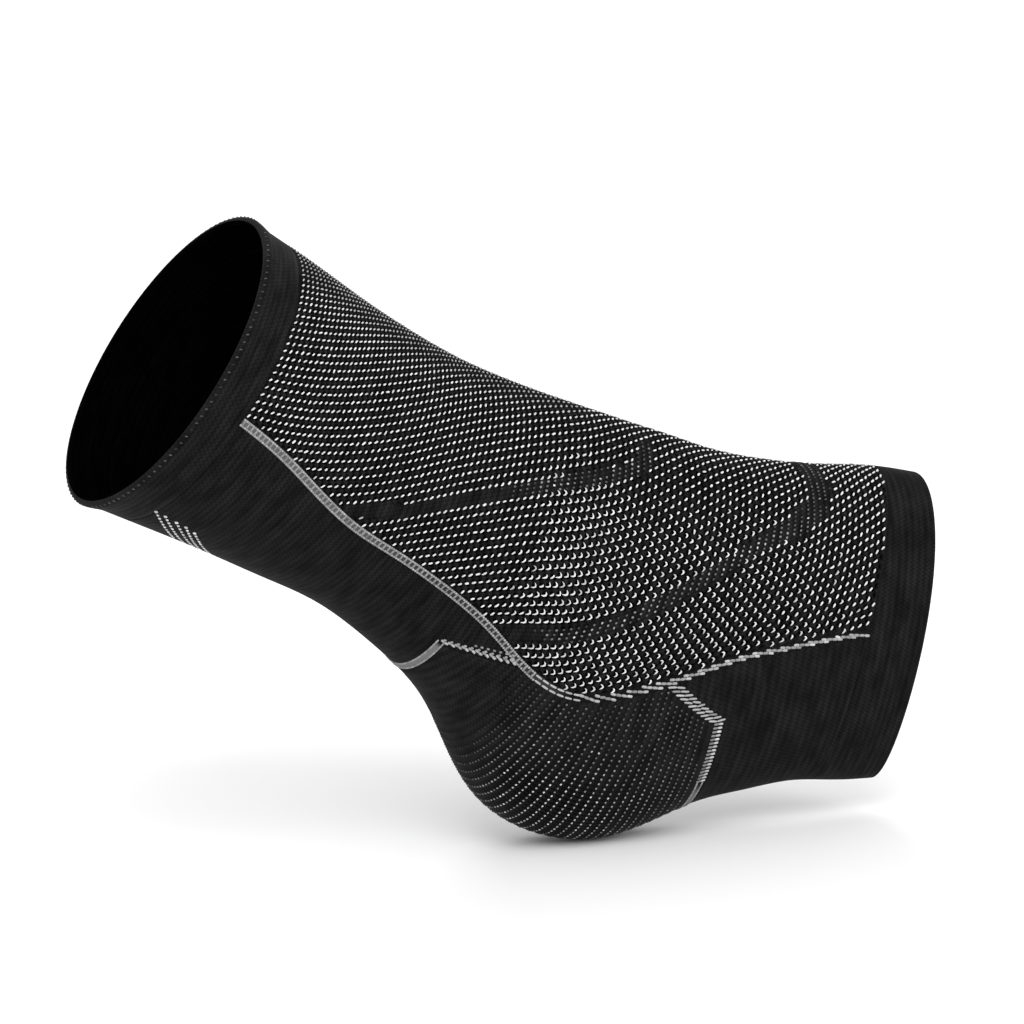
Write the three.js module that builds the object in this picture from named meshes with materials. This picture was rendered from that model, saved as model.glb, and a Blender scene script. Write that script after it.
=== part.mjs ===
// Knitted elastic ankle sleeve: one bent tube of cloth from the lower leg to the middle of the foot.
// Millimetres, +X to the toes, +Z up, mirror symmetric about the plane y = 0.
// The origin is the inside bottom of the heel pocket, where the wearer's heel sits.
// A place on the cloth is a row, counted in sections from the leg rim to the foot rim, and a turn,
// the share of the way round the tube from the front centre line over the side at -Y.
import * as THREE from 'three';

// Driving dimensions
const RUN = 231; // leg rim's middle to foot rim's middle, along X
const DROP = 97.5; // the same, down Z
const LEG_DEPTH = 94; // leg opening, front to back over the cloth
const LEG_WIDTH = 88; // leg opening, side to side over the cloth
const WALL = 2; // knitted wall
const PIECE_GAP = 0.3; // between neighbouring pieces
const LEG_CUFF = 13; // plain band below the leg rim
const FOOT_CUFF_TOP = 12.5; // plain band at the foot rim, over the instep
const FOOT_CUFF_SOLE = 22.5; // the same band, under the sole
const WELT_RISE = 0.9; // how far the leg rim's welt stands out
const WELT_LENGTH = 7; // how far the welt reaches from the leg rim
const OUTLINE_WIDTH = 2.6; // grey knitted lines between the panels

// Sections from the leg rim to the foot rim. x and z place the middle as shares of RUN and DROP,
// lean is the angle of its front-to-back line over +X in degrees, depth and width are shares of
// LEG_DEPTH and LEG_WIDTH, and egg is how much fuller the section is towards the front.
const SECTIONS = [
  { x: 0.0, z: 1.0, lean: 56.0, depth: 1.0, width: 1.0, egg: 0.0 },
  { x: 0.087, z: 0.88, lean: 56.2, depth: 0.954, width: 0.943, egg: 0.0 },
  { x: 0.157, z: 0.778, lean: 55.6, depth: 0.913, width: 0.886, egg: 0.0 },
  { x: 0.228, z: 0.678, lean: 55.9, depth: 0.885, width: 0.836, egg: 0.0 },
  { x: 0.296, z: 0.586, lean: 57.8, depth: 0.873, width: 0.8, egg: 0.0 },
  { x: 0.361, z: 0.483, lean: 62.3, depth: 0.918, width: 0.777, egg: 0.0 },
  { x: 0.418, z: 0.376, lean: 67.4, depth: 1.007, width: 0.773, egg: 0.0 },
  { x: 0.46, z: 0.264, lean: 69.7, depth: 1.146, width: 0.773, egg: 0.0 },
  { x: 0.503, z: 0.156, lean: 72.3, depth: 1.282, width: 0.761, egg: 0.0 },
  { x: 0.569, z: 0.075, lean: 77.3, depth: 1.333, width: 0.739, egg: 0.02 },
  { x: 0.645, z: 0.045, lean: 81.4, depth: 1.275, width: 0.705, egg: 0.05 },
  { x: 0.723, z: 0.049, lean: 84.0, depth: 1.139, width: 0.659, egg: 0.08 },
  { x: 0.798, z: 0.041, lean: 83.9, depth: 1.065, width: 0.618, egg: 0.11 },
  { x: 0.87, z: 0.035, lean: 83.3, depth: 1.022, width: 0.577, egg: 0.14 },
  { x: 0.938, z: 0.02, lean: 82.3, depth: 1.019, width: 0.534, egg: 0.17 },
  { x: 1.0, z: 0.0, lean: 81.0, depth: 0.994, width: 0.489, egg: 0.2 },
];
const LAST_ROW = SECTIONS.length - 1;

// Grey line down each side, between the dotted instep panel and the plain panels.
const SIDE_LINE = [
  { row: 0, turn: 0.262 },
  { row: 1.8, turn: 0.29 },
  { row: 3.2, turn: 0.319 },
  { row: 4.2, turn: 0.327 },
  { row: 5.4, turn: 0.331 },
  { row: 6.8, turn: 0.331 },
  { row: 7.6, turn: 0.321 },
  { row: 8.4, turn: 0.308 },
  { row: 9.4, turn: 0.285 },
  { row: 10.4, turn: 0.272 },
  { row: 12.1, turn: 0.258 },
  { row: 15, turn: 0.243 },
];
// Grey line over the heel, from the back centre line to the corner and on to the side line.
const HEEL_TOP_ROW = 5.43;
const HEEL_TOP_CORNER_TURN = 0.389;
const HEEL_TOP_JOIN_ROW = 6.87;
// Grey line in front of the heel, from the sole centre line to the corner and on to the side line.
const HEEL_FRONT_ROW = 10.88;
const HEEL_FRONT_CORNER_TURN = 0.339;
const HEEL_FRONT_JOIN_ROW = 9.85;

// Cells of the faceted surface along each stretch of the side line, and round the tube
const CELLS_LEG = 17;
const CELLS_HEEL = 14;
const CELLS_FOOT = 10;
const CELLS_INSTEP_ROUND = 22;
const CELLS_CORNER = 3; // from the side line to each corner of a heel line
const CELLS_BACK = 14; // between the two corners
const CELLS_CUFF_ROUND = 48;
const CELLS_CUFF_LONG = 3;

const KNIT_BLACK = new THREE.Color('#1f1f1f');
const KNIT_GREY = new THREE.Color('#8c8c8c');
const KNIT_ROUGHNESS = 0.92;

// A smooth curve through points: the natural cubic spline of values over knots, as a function.
function spline(knots, values) {
  const last = knots.length - 1;
  const bend = new Array(last + 1).fill(0);
  const carry = new Array(last + 1).fill(0);
  for (let i = 1; i < last; i += 1) {
    const before = knots[i] - knots[i - 1];
    const after = knots[i + 1] - knots[i];
    const slopes = (values[i + 1] - values[i]) / after - (values[i] - values[i - 1]) / before;
    const pivot = 2 * (before + after) - before * carry[i - 1];
    carry[i] = after / pivot;
    bend[i] = (6 * slopes - before * bend[i - 1]) / pivot;
  }
  for (let i = last - 1; i > 0; i -= 1) {
    bend[i] -= carry[i] * bend[i + 1];
  }
  return (at) => {
    let i = 0;
    while (i < last - 1 && at > knots[i + 1]) {
      i += 1;
    }
    const step = knots[i + 1] - knots[i];
    const ahead = (at - knots[i]) / step;
    const behind = 1 - ahead;
    const bow = (behind ** 3 - behind) * bend[i] + (ahead ** 3 - ahead) * bend[i + 1];
    return values[i] * behind + values[i + 1] * ahead + (bow * step * step) / 6;
  };
}

// The section at any row: each column of the table as a smooth function of the row.
const sectionRows = SECTIONS.map((section, row) => row);
const columnNames = ['x', 'z', 'lean', 'depth', 'width', 'egg'];
const columnAt = Object.fromEntries(
  columnNames.map((name) => [name, spline(sectionRows, SECTIONS.map((section) => section[name]))]),
);

// One ring of the outer surface, as points an even angle apart and the length run so far.
const RING_STEPS = 360;
function ring(row) {
  const at = THREE.MathUtils.clamp(row, 0, LAST_ROW);
  const lean = THREE.MathUtils.degToRad(columnAt.lean(at));
  const halfDepth = (columnAt.depth(at) * LEG_DEPTH) / 2;
  const halfWidth = (columnAt.width(at) * LEG_WIDTH) / 2;
  const egg = columnAt.egg(at);
  const points = [];
  const run = [0];
  for (let i = 0; i <= RING_STEPS; i += 1) {
    const angle = (2 * Math.PI * i) / RING_STEPS;
    const forward = halfDepth * Math.cos(angle);
    points.push(new THREE.Vector3(
      columnAt.x(at) * RUN + forward * Math.cos(lean),
      -halfWidth * Math.sin(angle) * (1 + egg * Math.cos(angle)),
      columnAt.z(at) * DROP + forward * Math.sin(lean),
    ));
    if (i > 0) {
      run.push(run[i - 1] + points[i].distanceTo(points[i - 1]));
    }
  }
  return { points, run, girth: run[RING_STEPS] };
}

const ringCache = new Map();
function cachedRing(row) {
  if (!ringCache.has(row)) {
    ringCache.set(row, ring(row));
  }
  return ringCache.get(row);
}

// A point of the outer surface: the given share of the way round the ring at that row.
function surfacePoint(row, turn) {
  const { points, run, girth } = cachedRing(row);
  const wanted = (turn - Math.floor(turn)) * girth;
  let low = 0;
  let high = RING_STEPS;
  while (high - low > 1) {
    const middle = Math.floor((low + high) / 2);
    if (run[middle] <= wanted) {
      low = middle;
    } else {
      high = middle;
    }
  }
  return points[low].clone().lerp(points[high], (wanted - run[low]) / (run[high] - run[low]));
}

// Millimetres that one row and one turn measure on the cloth at a place, and its outward normal.
const ROW_STEP = 0.02;
const TURN_STEP = 0.002;
function clothAt(row, turn) {
  const rowBefore = Math.max(row - ROW_STEP, 0);
  const rowAfter = Math.min(row + ROW_STEP, LAST_ROW);
  const along = surfacePoint(rowAfter, turn).sub(surfacePoint(rowBefore, turn));
  along.divideScalar(rowAfter - rowBefore);
  const around = surfacePoint(row, turn + TURN_STEP).sub(surfacePoint(row, turn - TURN_STEP));
  around.divideScalar(2 * TURN_STEP);
  const normal = around.clone().cross(along).normalize();
  return { along, around, normal };
}

// Rows that a length of cloth covers at an end of the sleeve, measured along the middle line.
function rowsFrom(endRow, length) {
  const step = endRow === 0 ? 0.01 : -0.01;
  const middle = (row) => new THREE.Vector2(columnAt.x(row) * RUN, columnAt.z(row) * DROP);
  const stepLength = middle(endRow).distanceTo(middle(endRow + step)) / Math.abs(step);
  return length / stepLength;
}

// The lines that bound the pieces, each a place on the cloth as a function of a share from 0 to 1
const sideTurn = spline(SIDE_LINE.map((point) => point.row), SIDE_LINE.map((point) => point.turn));
const legCuffRow = rowsFrom(0, LEG_CUFF);

function footCuffRow(turn) {
  const width = FOOT_CUFF_TOP + (FOOT_CUFF_SOLE - FOOT_CUFF_TOP) * Math.abs(Math.sin(Math.PI * turn));
  return LAST_ROW - rowsFrom(LAST_ROW, width);
}

// Row where the side line meets the foot cuff, found by stepping towards it.
let footJoinRow = LAST_ROW - 1;
for (let i = 0; i < 8; i += 1) {
  footJoinRow = footCuffRow(sideTurn(footJoinRow));
}

// A stretch of the side line on the -Y side, or its mirror image, from one row to another.
function sideStretch(fromRow, toRow, mirrored) {
  return (share) => {
    const row = THREE.MathUtils.lerp(fromRow, toRow, share);
    const turn = sideTurn(row);
    return { row, turn: mirrored ? 1 - turn : turn };
  };
}

// A line across the back with two corners, the same on both sides: straight from the side line to
// the corner, then level to the other corner. The shares at the corners follow the cell counts.
const CORNER_SHARE = CELLS_CORNER / (2 * CELLS_CORNER + CELLS_BACK);
function crossing(joinRow, levelRow, cornerTurn) {
  return (share) => {
    const fromSide = Math.min(share, 1 - share);
    const slant = Math.min(fromSide / CORNER_SHARE, 1);
    const level = Math.max(fromSide - CORNER_SHARE, 0) / (0.5 - CORNER_SHARE);
    const turn = THREE.MathUtils.lerp(sideTurn(joinRow), cornerTurn, slant) + (0.5 - cornerTurn) * level;
    return { row: THREE.MathUtils.lerp(joinRow, levelRow, slant), turn: share > 0.5 ? 1 - turn : turn };
  };
}
const heelTopLine = crossing(HEEL_TOP_JOIN_ROW, HEEL_TOP_ROW, HEEL_TOP_CORNER_TURN);
const heelFrontLine = crossing(HEEL_FRONT_JOIN_ROW, HEEL_FRONT_ROW, HEEL_FRONT_CORNER_TURN);

// The edge of a cuff between two turns.
function cuffEdge(rowAt, fromTurn, toTurn) {
  return (share) => {
    const turn = THREE.MathUtils.lerp(fromTurn, toTurn, share);
    return { row: rowAt(turn), turn };
  };
}

// Lowest point of the inside of the heel, which becomes the origin.
const SEAT_TURN = 0.5;
const SEAT_STEPS = 300;
const heelSeat = new THREE.Vector3(0, 0, Infinity);
for (let i = 0; i <= SEAT_STEPS; i += 1) {
  const row = (LAST_ROW * i) / SEAT_STEPS;
  const inside = surfacePoint(row, SEAT_TURN).addScaledVector(clothAt(row, SEAT_TURN).normal, -WALL);
  if (inside.z < heelSeat.z) {
    heelSeat.copy(inside);
  }
}

// A wall of cloth over a grid of places: outer skin, inner skin and the edges that close it.
// raise gives how far the outer skin stands out at a place, and closed joins the last column
// to the first one.
function wall(places, closed, raise = () => 0) {
  const positions = [];
  const rows = places.length;
  const columns = places[0].length;
  for (const offsetAt of [raise, () => -WALL]) {
    for (const line of places) {
      for (const { row, turn } of line) {
        const point = surfacePoint(row, turn);
        point.addScaledVector(clothAt(row, turn).normal, offsetAt(row)).sub(heelSeat);
        positions.push(point.x, point.y, point.z);
      }
    }
  }
  const outer = (i, j) => i * columns + (j % columns);
  const inner = (i, j) => rows * columns + outer(i, j);
  const index = [];
  const quad = (a, b, c, d) => index.push(a, c, b, a, d, c);
  const cellsRound = closed ? columns : columns - 1;
  for (let j = 0; j < cellsRound; j += 1) {
    for (let i = 0; i < rows - 1; i += 1) {
      quad(outer(i, j), outer(i + 1, j), outer(i + 1, j + 1), outer(i, j + 1));
      quad(inner(i, j), inner(i, j + 1), inner(i + 1, j + 1), inner(i + 1, j));
    }
    quad(outer(0, j), outer(0, j + 1), inner(0, j + 1), inner(0, j));
    quad(outer(rows - 1, j), inner(rows - 1, j), inner(rows - 1, j + 1), outer(rows - 1, j + 1));
  }
  if (!closed) {
    for (let i = 0; i < rows - 1; i += 1) {
      const j = columns - 1;
      quad(outer(i, 0), inner(i, 0), inner(i + 1, 0), outer(i + 1, 0));
      quad(outer(i, j), outer(i + 1, j), inner(i + 1, j), inner(i, j));
    }
  }
  const geometry = new THREE.BufferGeometry();
  geometry.setAttribute('position', new THREE.Float32BufferAttribute(positions, 3));
  geometry.setIndex(index);
  geometry.computeVertexNormals();
  return geometry;
}

// A panel between four lines: the smooth patch that joins them, drawn in from each line.
// inset holds how far it stays from the left, right, top and bottom line in millimetres.
function panel({ left, right, top, bottom }, cellsLong, cellsRound, inset) {
  const blend = (across, down) => {
    const place = {};
    for (const name of ['row', 'turn']) {
      const sides = (1 - across) * left(down)[name] + across * right(down)[name];
      const ends = (1 - down) * top(across)[name] + down * bottom(across)[name];
      const topCorners = (1 - across) * left(0)[name] + across * right(0)[name];
      const bottomCorners = (1 - across) * left(1)[name] + across * right(1)[name];
      place[name] = sides + ends - (1 - down) * topCorners - down * bottomCorners;
    }
    return place;
  };
  const vector = (across, down) => {
    const { row, turn } = blend(across, down);
    return surfacePoint(row, turn);
  };
  // The share of the panel that a distance from one of its lines takes, along the grid.
  const SHARE_STEP = 0.01;
  const drawnIn = (distance, across, down, alongAcross) => {
    const inward = (at) => (at < 0.5 ? SHARE_STEP : -SHARE_STEP);
    const here = vector(across, down);
    const overAcross = vector(across + inward(across), down).sub(here);
    const overDown = vector(across, down + inward(down)).sub(here);
    const cutting = overAcross.clone().cross(overDown).length();
    const edge = alongAcross ? overDown.length() : overAcross.length();
    return (distance * SHARE_STEP * edge) / cutting;
  };
  const places = [];
  for (let i = 0; i <= cellsLong; i += 1) {
    const down = i / cellsLong;
    const line = [];
    for (let j = 0; j <= cellsRound; j += 1) {
      const across = j / cellsRound;
      const fromLeft = drawnIn(inset.left, 0, down, true);
      const fromRight = drawnIn(inset.right, 1, down, true);
      const fromTop = drawnIn(inset.top, across, 0, false);
      const fromBottom = drawnIn(inset.bottom, across, 1, false);
      line.push(blend(
        fromLeft + across * (1 - fromLeft - fromRight),
        fromTop + down * (1 - fromTop - fromBottom),
      ));
    }
    places.push(line);
  }
  return wall(places, false);
}

// A narrow knitted line along a line on the cloth. ends holds, for its start and its finish, how far
// it stops short and the cloth line that it stops at, which slants its end to match.
const LINE_STEP = 0.005;
function strip(line, shares, ends) {
  const direction = (path, share) => {
    const before = Math.max(share - LINE_STEP, 0);
    const after = Math.min(share + LINE_STEP, 1);
    const { along, around } = clothAt(path(share).row, path(share).turn);
    const rowChange = (path(after).row - path(before).row) / (after - before);
    const turnChange = (path(after).turn - path(before).turn) / (after - before);
    const flat = new THREE.Vector2(rowChange * along.length(), turnChange * around.length());
    return { flat, along: along.length(), around: around.length() };
  };
  const trim = ends.map(({ at, short, stop, stopShare }) => {
    const own = direction(line, at).flat;
    const other = direction(stop, stopShare).flat;
    const sine = Math.abs(own.cross(other)) / (own.length() * other.length());
    const cosine = own.dot(other) / (own.length() * other.length());
    const side = Math.sign(own.cross(other));
    return (offset) => (short / sine + (offset * cosine * side) / sine) / own.length();
  });
  const places = shares.map((share) => [-1, 1].map((edge) => {
    const offset = (edge * OUTLINE_WIDTH) / 2;
    const start = trim[0](offset);
    const finish = trim[1](-offset);
    const at = start + share * (1 - start - finish);
    const { flat, along, around } = direction(line, at);
    const { row, turn } = line(at);
    const sideways = offset / flat.length();
    return { row: row - (flat.y * sideways) / along, turn: turn + (flat.x * sideways) / around };
  }));
  return wall(places, false);
}

// Placing the pieces
const sleeve = new THREE.Group();
function addPiece(name, geometry, color) {
  const material = new THREE.MeshStandardMaterial({ color, roughness: KNIT_ROUGHNESS, metalness: 0 });
  const mesh = new THREE.Mesh(geometry, material);
  mesh.name = name;
  sleeve.add(mesh);
}

const BESIDE_OUTLINE = OUTLINE_WIDTH / 2 + PIECE_GAP;
const BESIDE_CUFF = PIECE_GAP;
const legJoinTurn = sideTurn(legCuffRow);
const footJoinTurn = sideTurn(footJoinRow);
const legEdge = (fromTurn, toTurn) => cuffEdge(() => legCuffRow, fromTurn, toTurn);
const footEdge = (fromTurn, toTurn) => cuffEdge(footCuffRow, fromTurn, toTurn);

// The side line's own shares, even within each of its three stretches
const stretches = [
  { from: legCuffRow, to: HEEL_TOP_JOIN_ROW, cells: CELLS_LEG },
  { from: HEEL_TOP_JOIN_ROW, to: HEEL_FRONT_JOIN_ROW, cells: CELLS_HEEL },
  { from: HEEL_FRONT_JOIN_ROW, to: footJoinRow, cells: CELLS_FOOT },
];
const sideRows = [legCuffRow];
for (const { from, to, cells } of stretches) {
  for (let i = 1; i <= cells; i += 1) {
    sideRows.push(THREE.MathUtils.lerp(from, to, i / cells));
  }
}
const sideCells = sideRows.length - 1;
const sideShares = sideRows.map((row) => (row - legCuffRow) / (footJoinRow - legCuffRow));

// The side line as the instep panel's grid follows it: row by row through all three stretches.
function sideByCell(mirrored) {
  return (share) => {
    const cell = Math.min(Math.max(Math.floor(share * sideCells), 0), sideCells - 1);
    const row = THREE.MathUtils.lerp(sideRows[cell], sideRows[cell + 1], share * sideCells - cell);
    return { row, turn: mirrored ? -sideTurn(row) : sideTurn(row) };
  };
}

// Leg cuff with its welt, and foot cuff
function cuff(rowAtCell) {
  const places = [];
  for (let i = 0; i <= CELLS_CUFF_LONG; i += 1) {
    const line = [];
    for (let j = 0; j < CELLS_CUFF_ROUND; j += 1) {
      const turn = j / CELLS_CUFF_ROUND;
      line.push({ row: rowAtCell(i / CELLS_CUFF_LONG, turn), turn });
    }
    places.push(line);
  }
  return places;
}
const weltRows = rowsFrom(0, WELT_LENGTH);
const weltRise = (row) => WELT_RISE * Math.cos((Math.PI / 2) * Math.min(row / weltRows, 1)) ** 2;
addPiece('leg_cuff', wall(cuff((share) => share * legCuffRow), true, weltRise), KNIT_BLACK);
addPiece(
  'foot_cuff',
  wall(cuff((share, turn) => THREE.MathUtils.lerp(footCuffRow(turn), LAST_ROW, share)), true),
  KNIT_BLACK,
);

// Panels
addPiece(
  'instep_panel',
  panel(
    {
      left: sideByCell(true),
      right: sideByCell(false),
      top: legEdge(-legJoinTurn, legJoinTurn),
      bottom: footEdge(-footJoinTurn, footJoinTurn),
    },
    sideCells,
    CELLS_INSTEP_ROUND,
    { left: BESIDE_OUTLINE, right: BESIDE_OUTLINE, top: BESIDE_CUFF, bottom: BESIDE_CUFF },
  ),
  KNIT_BLACK,
);
const cellsAcross = 2 * CELLS_CORNER + CELLS_BACK;
addPiece(
  'achilles_panel',
  panel(
    {
      left: sideStretch(legCuffRow, HEEL_TOP_JOIN_ROW, false),
      right: sideStretch(legCuffRow, HEEL_TOP_JOIN_ROW, true),
      top: legEdge(legJoinTurn, 1 - legJoinTurn),
      bottom: heelTopLine,
    },
    CELLS_LEG,
    cellsAcross,
    { left: BESIDE_OUTLINE, right: BESIDE_OUTLINE, top: BESIDE_CUFF, bottom: BESIDE_OUTLINE },
  ),
  KNIT_BLACK,
);
addPiece(
  'heel_pocket',
  panel(
    {
      left: sideStretch(HEEL_TOP_JOIN_ROW, HEEL_FRONT_JOIN_ROW, false),
      right: sideStretch(HEEL_TOP_JOIN_ROW, HEEL_FRONT_JOIN_ROW, true),
      top: heelTopLine,
      bottom: heelFrontLine,
    },
    CELLS_HEEL,
    cellsAcross,
    { left: BESIDE_OUTLINE, right: BESIDE_OUTLINE, top: BESIDE_OUTLINE, bottom: BESIDE_OUTLINE },
  ),
  KNIT_BLACK,
);
addPiece(
  'sole_panel',
  panel(
    {
      left: sideStretch(HEEL_FRONT_JOIN_ROW, footJoinRow, false),
      right: sideStretch(HEEL_FRONT_JOIN_ROW, footJoinRow, true),
      top: heelFrontLine,
      bottom: footEdge(footJoinTurn, 1 - footJoinTurn),
    },
    CELLS_FOOT,
    cellsAcross,
    { left: BESIDE_OUTLINE, right: BESIDE_OUTLINE, top: BESIDE_OUTLINE, bottom: BESIDE_CUFF },
  ),
  KNIT_BLACK,
);

// Grey knitted lines
const wholeSide = [false, true].map((mirrored) => sideStretch(legCuffRow, footJoinRow, mirrored));
const sideEnds = (mirrored) => {
  const turns = mirrored ? [1, 0.5] : [0, 0.5];
  return [
    { at: 0, short: BESIDE_CUFF, stop: legEdge(...turns), stopShare: 0.5 },
    { at: 1, short: BESIDE_CUFF, stop: footEdge(...turns), stopShare: 0.5 },
  ];
};
addPiece('side_outline_right', strip(wholeSide[0], sideShares, sideEnds(false)), KNIT_GREY);
addPiece('side_outline_left', strip(wholeSide[1], sideShares, sideEnds(true)), KNIT_GREY);

const acrossShares = Array.from({ length: cellsAcross + 1 }, (unused, i) => i / cellsAcross);
function crossingEnds(joinRow) {
  const stopShare = (joinRow - legCuffRow) / (footJoinRow - legCuffRow);
  const short = OUTLINE_WIDTH / 2 + PIECE_GAP;
  return [0, 1].map((at) => ({ at, short, stop: wholeSide[at], stopShare }));
}
addPiece('heel_top_outline', strip(heelTopLine, acrossShares, crossingEnds(HEEL_TOP_JOIN_ROW)), KNIT_GREY);
addPiece(
  'heel_front_outline',
  strip(heelFrontLine, acrossShares, crossingEnds(HEEL_FRONT_JOIN_ROW)),
  KNIT_GREY,
);

export default sleeve;
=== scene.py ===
"""Knitted ankle sleeve on its CAD frame: black knit panels, white and grey stitches, and a plain stage.

A place on the cloth is a row, counted in sections from the leg rim to the foot rim, and a turn, the share
of the way round the tube from the front centre line over the side at -Y, as in the part's source.
"""

import bpy
import numpy as np
from mathutils import Matrix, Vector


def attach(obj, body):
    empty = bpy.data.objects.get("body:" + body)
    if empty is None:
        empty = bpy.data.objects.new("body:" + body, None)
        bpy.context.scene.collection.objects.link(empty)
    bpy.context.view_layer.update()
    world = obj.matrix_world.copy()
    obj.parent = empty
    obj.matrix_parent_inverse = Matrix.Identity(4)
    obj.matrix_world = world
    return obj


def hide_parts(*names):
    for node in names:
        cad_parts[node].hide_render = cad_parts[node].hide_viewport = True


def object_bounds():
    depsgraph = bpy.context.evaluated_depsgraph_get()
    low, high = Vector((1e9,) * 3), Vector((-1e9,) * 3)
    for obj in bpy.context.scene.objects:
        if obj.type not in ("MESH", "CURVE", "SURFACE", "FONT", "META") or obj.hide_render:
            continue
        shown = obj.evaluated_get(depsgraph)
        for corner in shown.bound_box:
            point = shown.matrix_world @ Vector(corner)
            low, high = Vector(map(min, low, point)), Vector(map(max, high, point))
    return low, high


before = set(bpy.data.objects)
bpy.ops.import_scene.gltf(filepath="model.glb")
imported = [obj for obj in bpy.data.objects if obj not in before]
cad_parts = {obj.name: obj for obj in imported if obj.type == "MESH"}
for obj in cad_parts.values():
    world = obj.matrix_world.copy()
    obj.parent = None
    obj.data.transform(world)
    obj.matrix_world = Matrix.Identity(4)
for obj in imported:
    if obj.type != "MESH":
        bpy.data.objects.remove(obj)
CAD_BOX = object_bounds()

bl_info = {
    "name": "Knitted ankle sleeve",
    "version": (1, 0, 0),
    "blender": (4, 5, 0),
    "location": "3D View > Sidebar > Sleeve",
    "description": "Builds the cloth, the stitches and the stage of a knitted ankle sleeve",
    "category": "Object",
}

MM = 0.001

# Slit between neighbouring pieces, too narrow to show.
SEAM = 0.00001

# Sections from the leg rim to the foot rim, as in the part's source: x and z of the middle as shares of
# the run and the drop, lean in degrees, depth and width as shares of the leg opening, and egg.
SECTIONS = np.array([
    (0.0, 1.0, 56.0, 1.0, 1.0, 0.0),
    (0.087, 0.88, 56.2, 0.954, 0.943, 0.0),
    (0.157, 0.778, 55.6, 0.913, 0.886, 0.0),
    (0.228, 0.678, 55.9, 0.885, 0.836, 0.0),
    (0.296, 0.586, 57.8, 0.873, 0.8, 0.0),
    (0.361, 0.483, 62.3, 0.918, 0.777, 0.0),
    (0.418, 0.376, 67.4, 1.007, 0.773, 0.0),
    (0.46, 0.264, 69.7, 1.146, 0.773, 0.0),
    (0.503, 0.156, 72.3, 1.282, 0.761, 0.0),
    (0.569, 0.075, 77.3, 1.333, 0.739, 0.02),
    (0.645, 0.045, 81.4, 1.275, 0.705, 0.05),
    (0.723, 0.049, 84.0, 1.139, 0.659, 0.08),
    (0.798, 0.041, 83.9, 1.065, 0.618, 0.11),
    (0.87, 0.035, 83.3, 1.022, 0.577, 0.14),
    (0.938, 0.02, 82.3, 1.019, 0.534, 0.17),
    (1.0, 0.0, 81.0, 0.994, 0.489, 0.2),
])
LAST_ROW = len(SECTIONS) - 1

# Grey line down each side as (row, turn), and the two grey lines across the heel, as in the source: the
# rows where each leaves the side line and where it runs level, and the turn of its corner. bare holds the
# shares of the line between which its ground turns grey. Its corner lies at the corner share.
SIDE_LINE = np.array([
    (0.0, 0.262), (1.8, 0.29), (3.2, 0.319), (4.2, 0.327), (5.4, 0.331), (6.8, 0.331),
    (7.6, 0.321), (8.4, 0.308), (9.4, 0.285), (10.4, 0.272), (12.1, 0.258), (15.0, 0.243),
])
HEEL_TOP = {"join": 6.87, "level": 5.43, "corner": 0.389, "bare": (0.15, 0.17)}
HEEL_FRONT = {"join": 9.85, "level": 10.88, "corner": 0.339, "bare": (0.33, 0.38)}
CORNER_SHARE = 0.15

# The knit of the dotted panel, read at eight rows: courses counted from the leg rim along the front line,
# how many courses further on the count is at a turn of 0.3, and the wales from the front line to there.
# A white stitch sits where course and wale are both even or both odd.
KNIT_ROWS = np.array([0.0, 2.0, 4.0, 6.0, 8.0, 10.0, 12.0, 15.0])
FRONT_COURSES = np.array([0.0, 25.5, 47.5, 61.5, 71.5, 84.0, 99.5, 126.5])
SIDE_LEAD = np.array([2.0, -2.0, -4.5, 0.5, 5.0, 11.5, 9.5, -1.0])
SIDE_WALES = np.array([74.0, 59.0, 54.0, 54.0, 57.5, 57.0, 54.0, 42.5])
SIDE_TURN = 0.3

# Wales round the sleeve, and how many of them, or of courses, make one unit of the knit map.
WALES = 188
MAP_UNIT = 100

# The knit of the heel: courses in each row, how many fewer the count is at the side, by row, and wales.
HEEL_COURSES = 7.3
HEEL_ROWS = np.array([6.0, 7.0, 8.0, 9.0, 10.0, 11.0])
HEEL_LAG = np.array([3.7, 3.7, 3.6, 1.9, 1.1, 0.0])
HEEL_SIDE = 0.17
HEEL_WALES = 180

# Ribs of the plain panels in each row, as (row, ribs).
RIBS = np.array([
    (0.0, 13.0), (1.0, 11.5), (2.0, 10.2), (4.0, 10.2), (6.0, 9.6), (9.0, 7.8), (12.0, 6.4), (15.0, 6.8),
])

# Dark channels through the dotted panel, as (row, turn).
UPPER_CHANNEL = np.array([
    (2.84, 0.302), (3.63, 0.274), (4.66, 0.217), (5.54, 0.175), (6.72, 0.13), (8.23, 0.086), (8.85, 0.07),
    (9.01, 0.046),
])
LOWER_CHANNEL = np.array([
    (6.1, 0.34), (6.3, 0.322), (6.86, 0.295), (7.72, 0.264), (8.45, 0.234), (9.13, 0.209), (9.83, 0.185),
    (10.2, 0.176), (10.88, 0.153), (11.56, 0.129), (12.12, 0.108), (12.52, 0.086), (12.64, 0.06),
    (12.6, 0.031), (12.57, 0.013),
])

# Each dark channel: its line, the rows and the factors that widen it, the turn from which it has no dots,
# and the turn below which they are faint.
CHANNELS = (
    (UPPER_CHANNEL, ((6.0, 7.5), (1.0, 1.15)), 0.2, 0.07),
    (LOWER_CHANNEL, ((11.3, 12.3), (1.0, 1.7)), 0.305, 0.12),
)

# A white stitch's middle stays this far inside the dotted panel, and this far outside the dark channels.
PANEL_CLEAR = 0.6 * MM
CHANNEL_CLEAR = 0.35 * MM

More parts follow.
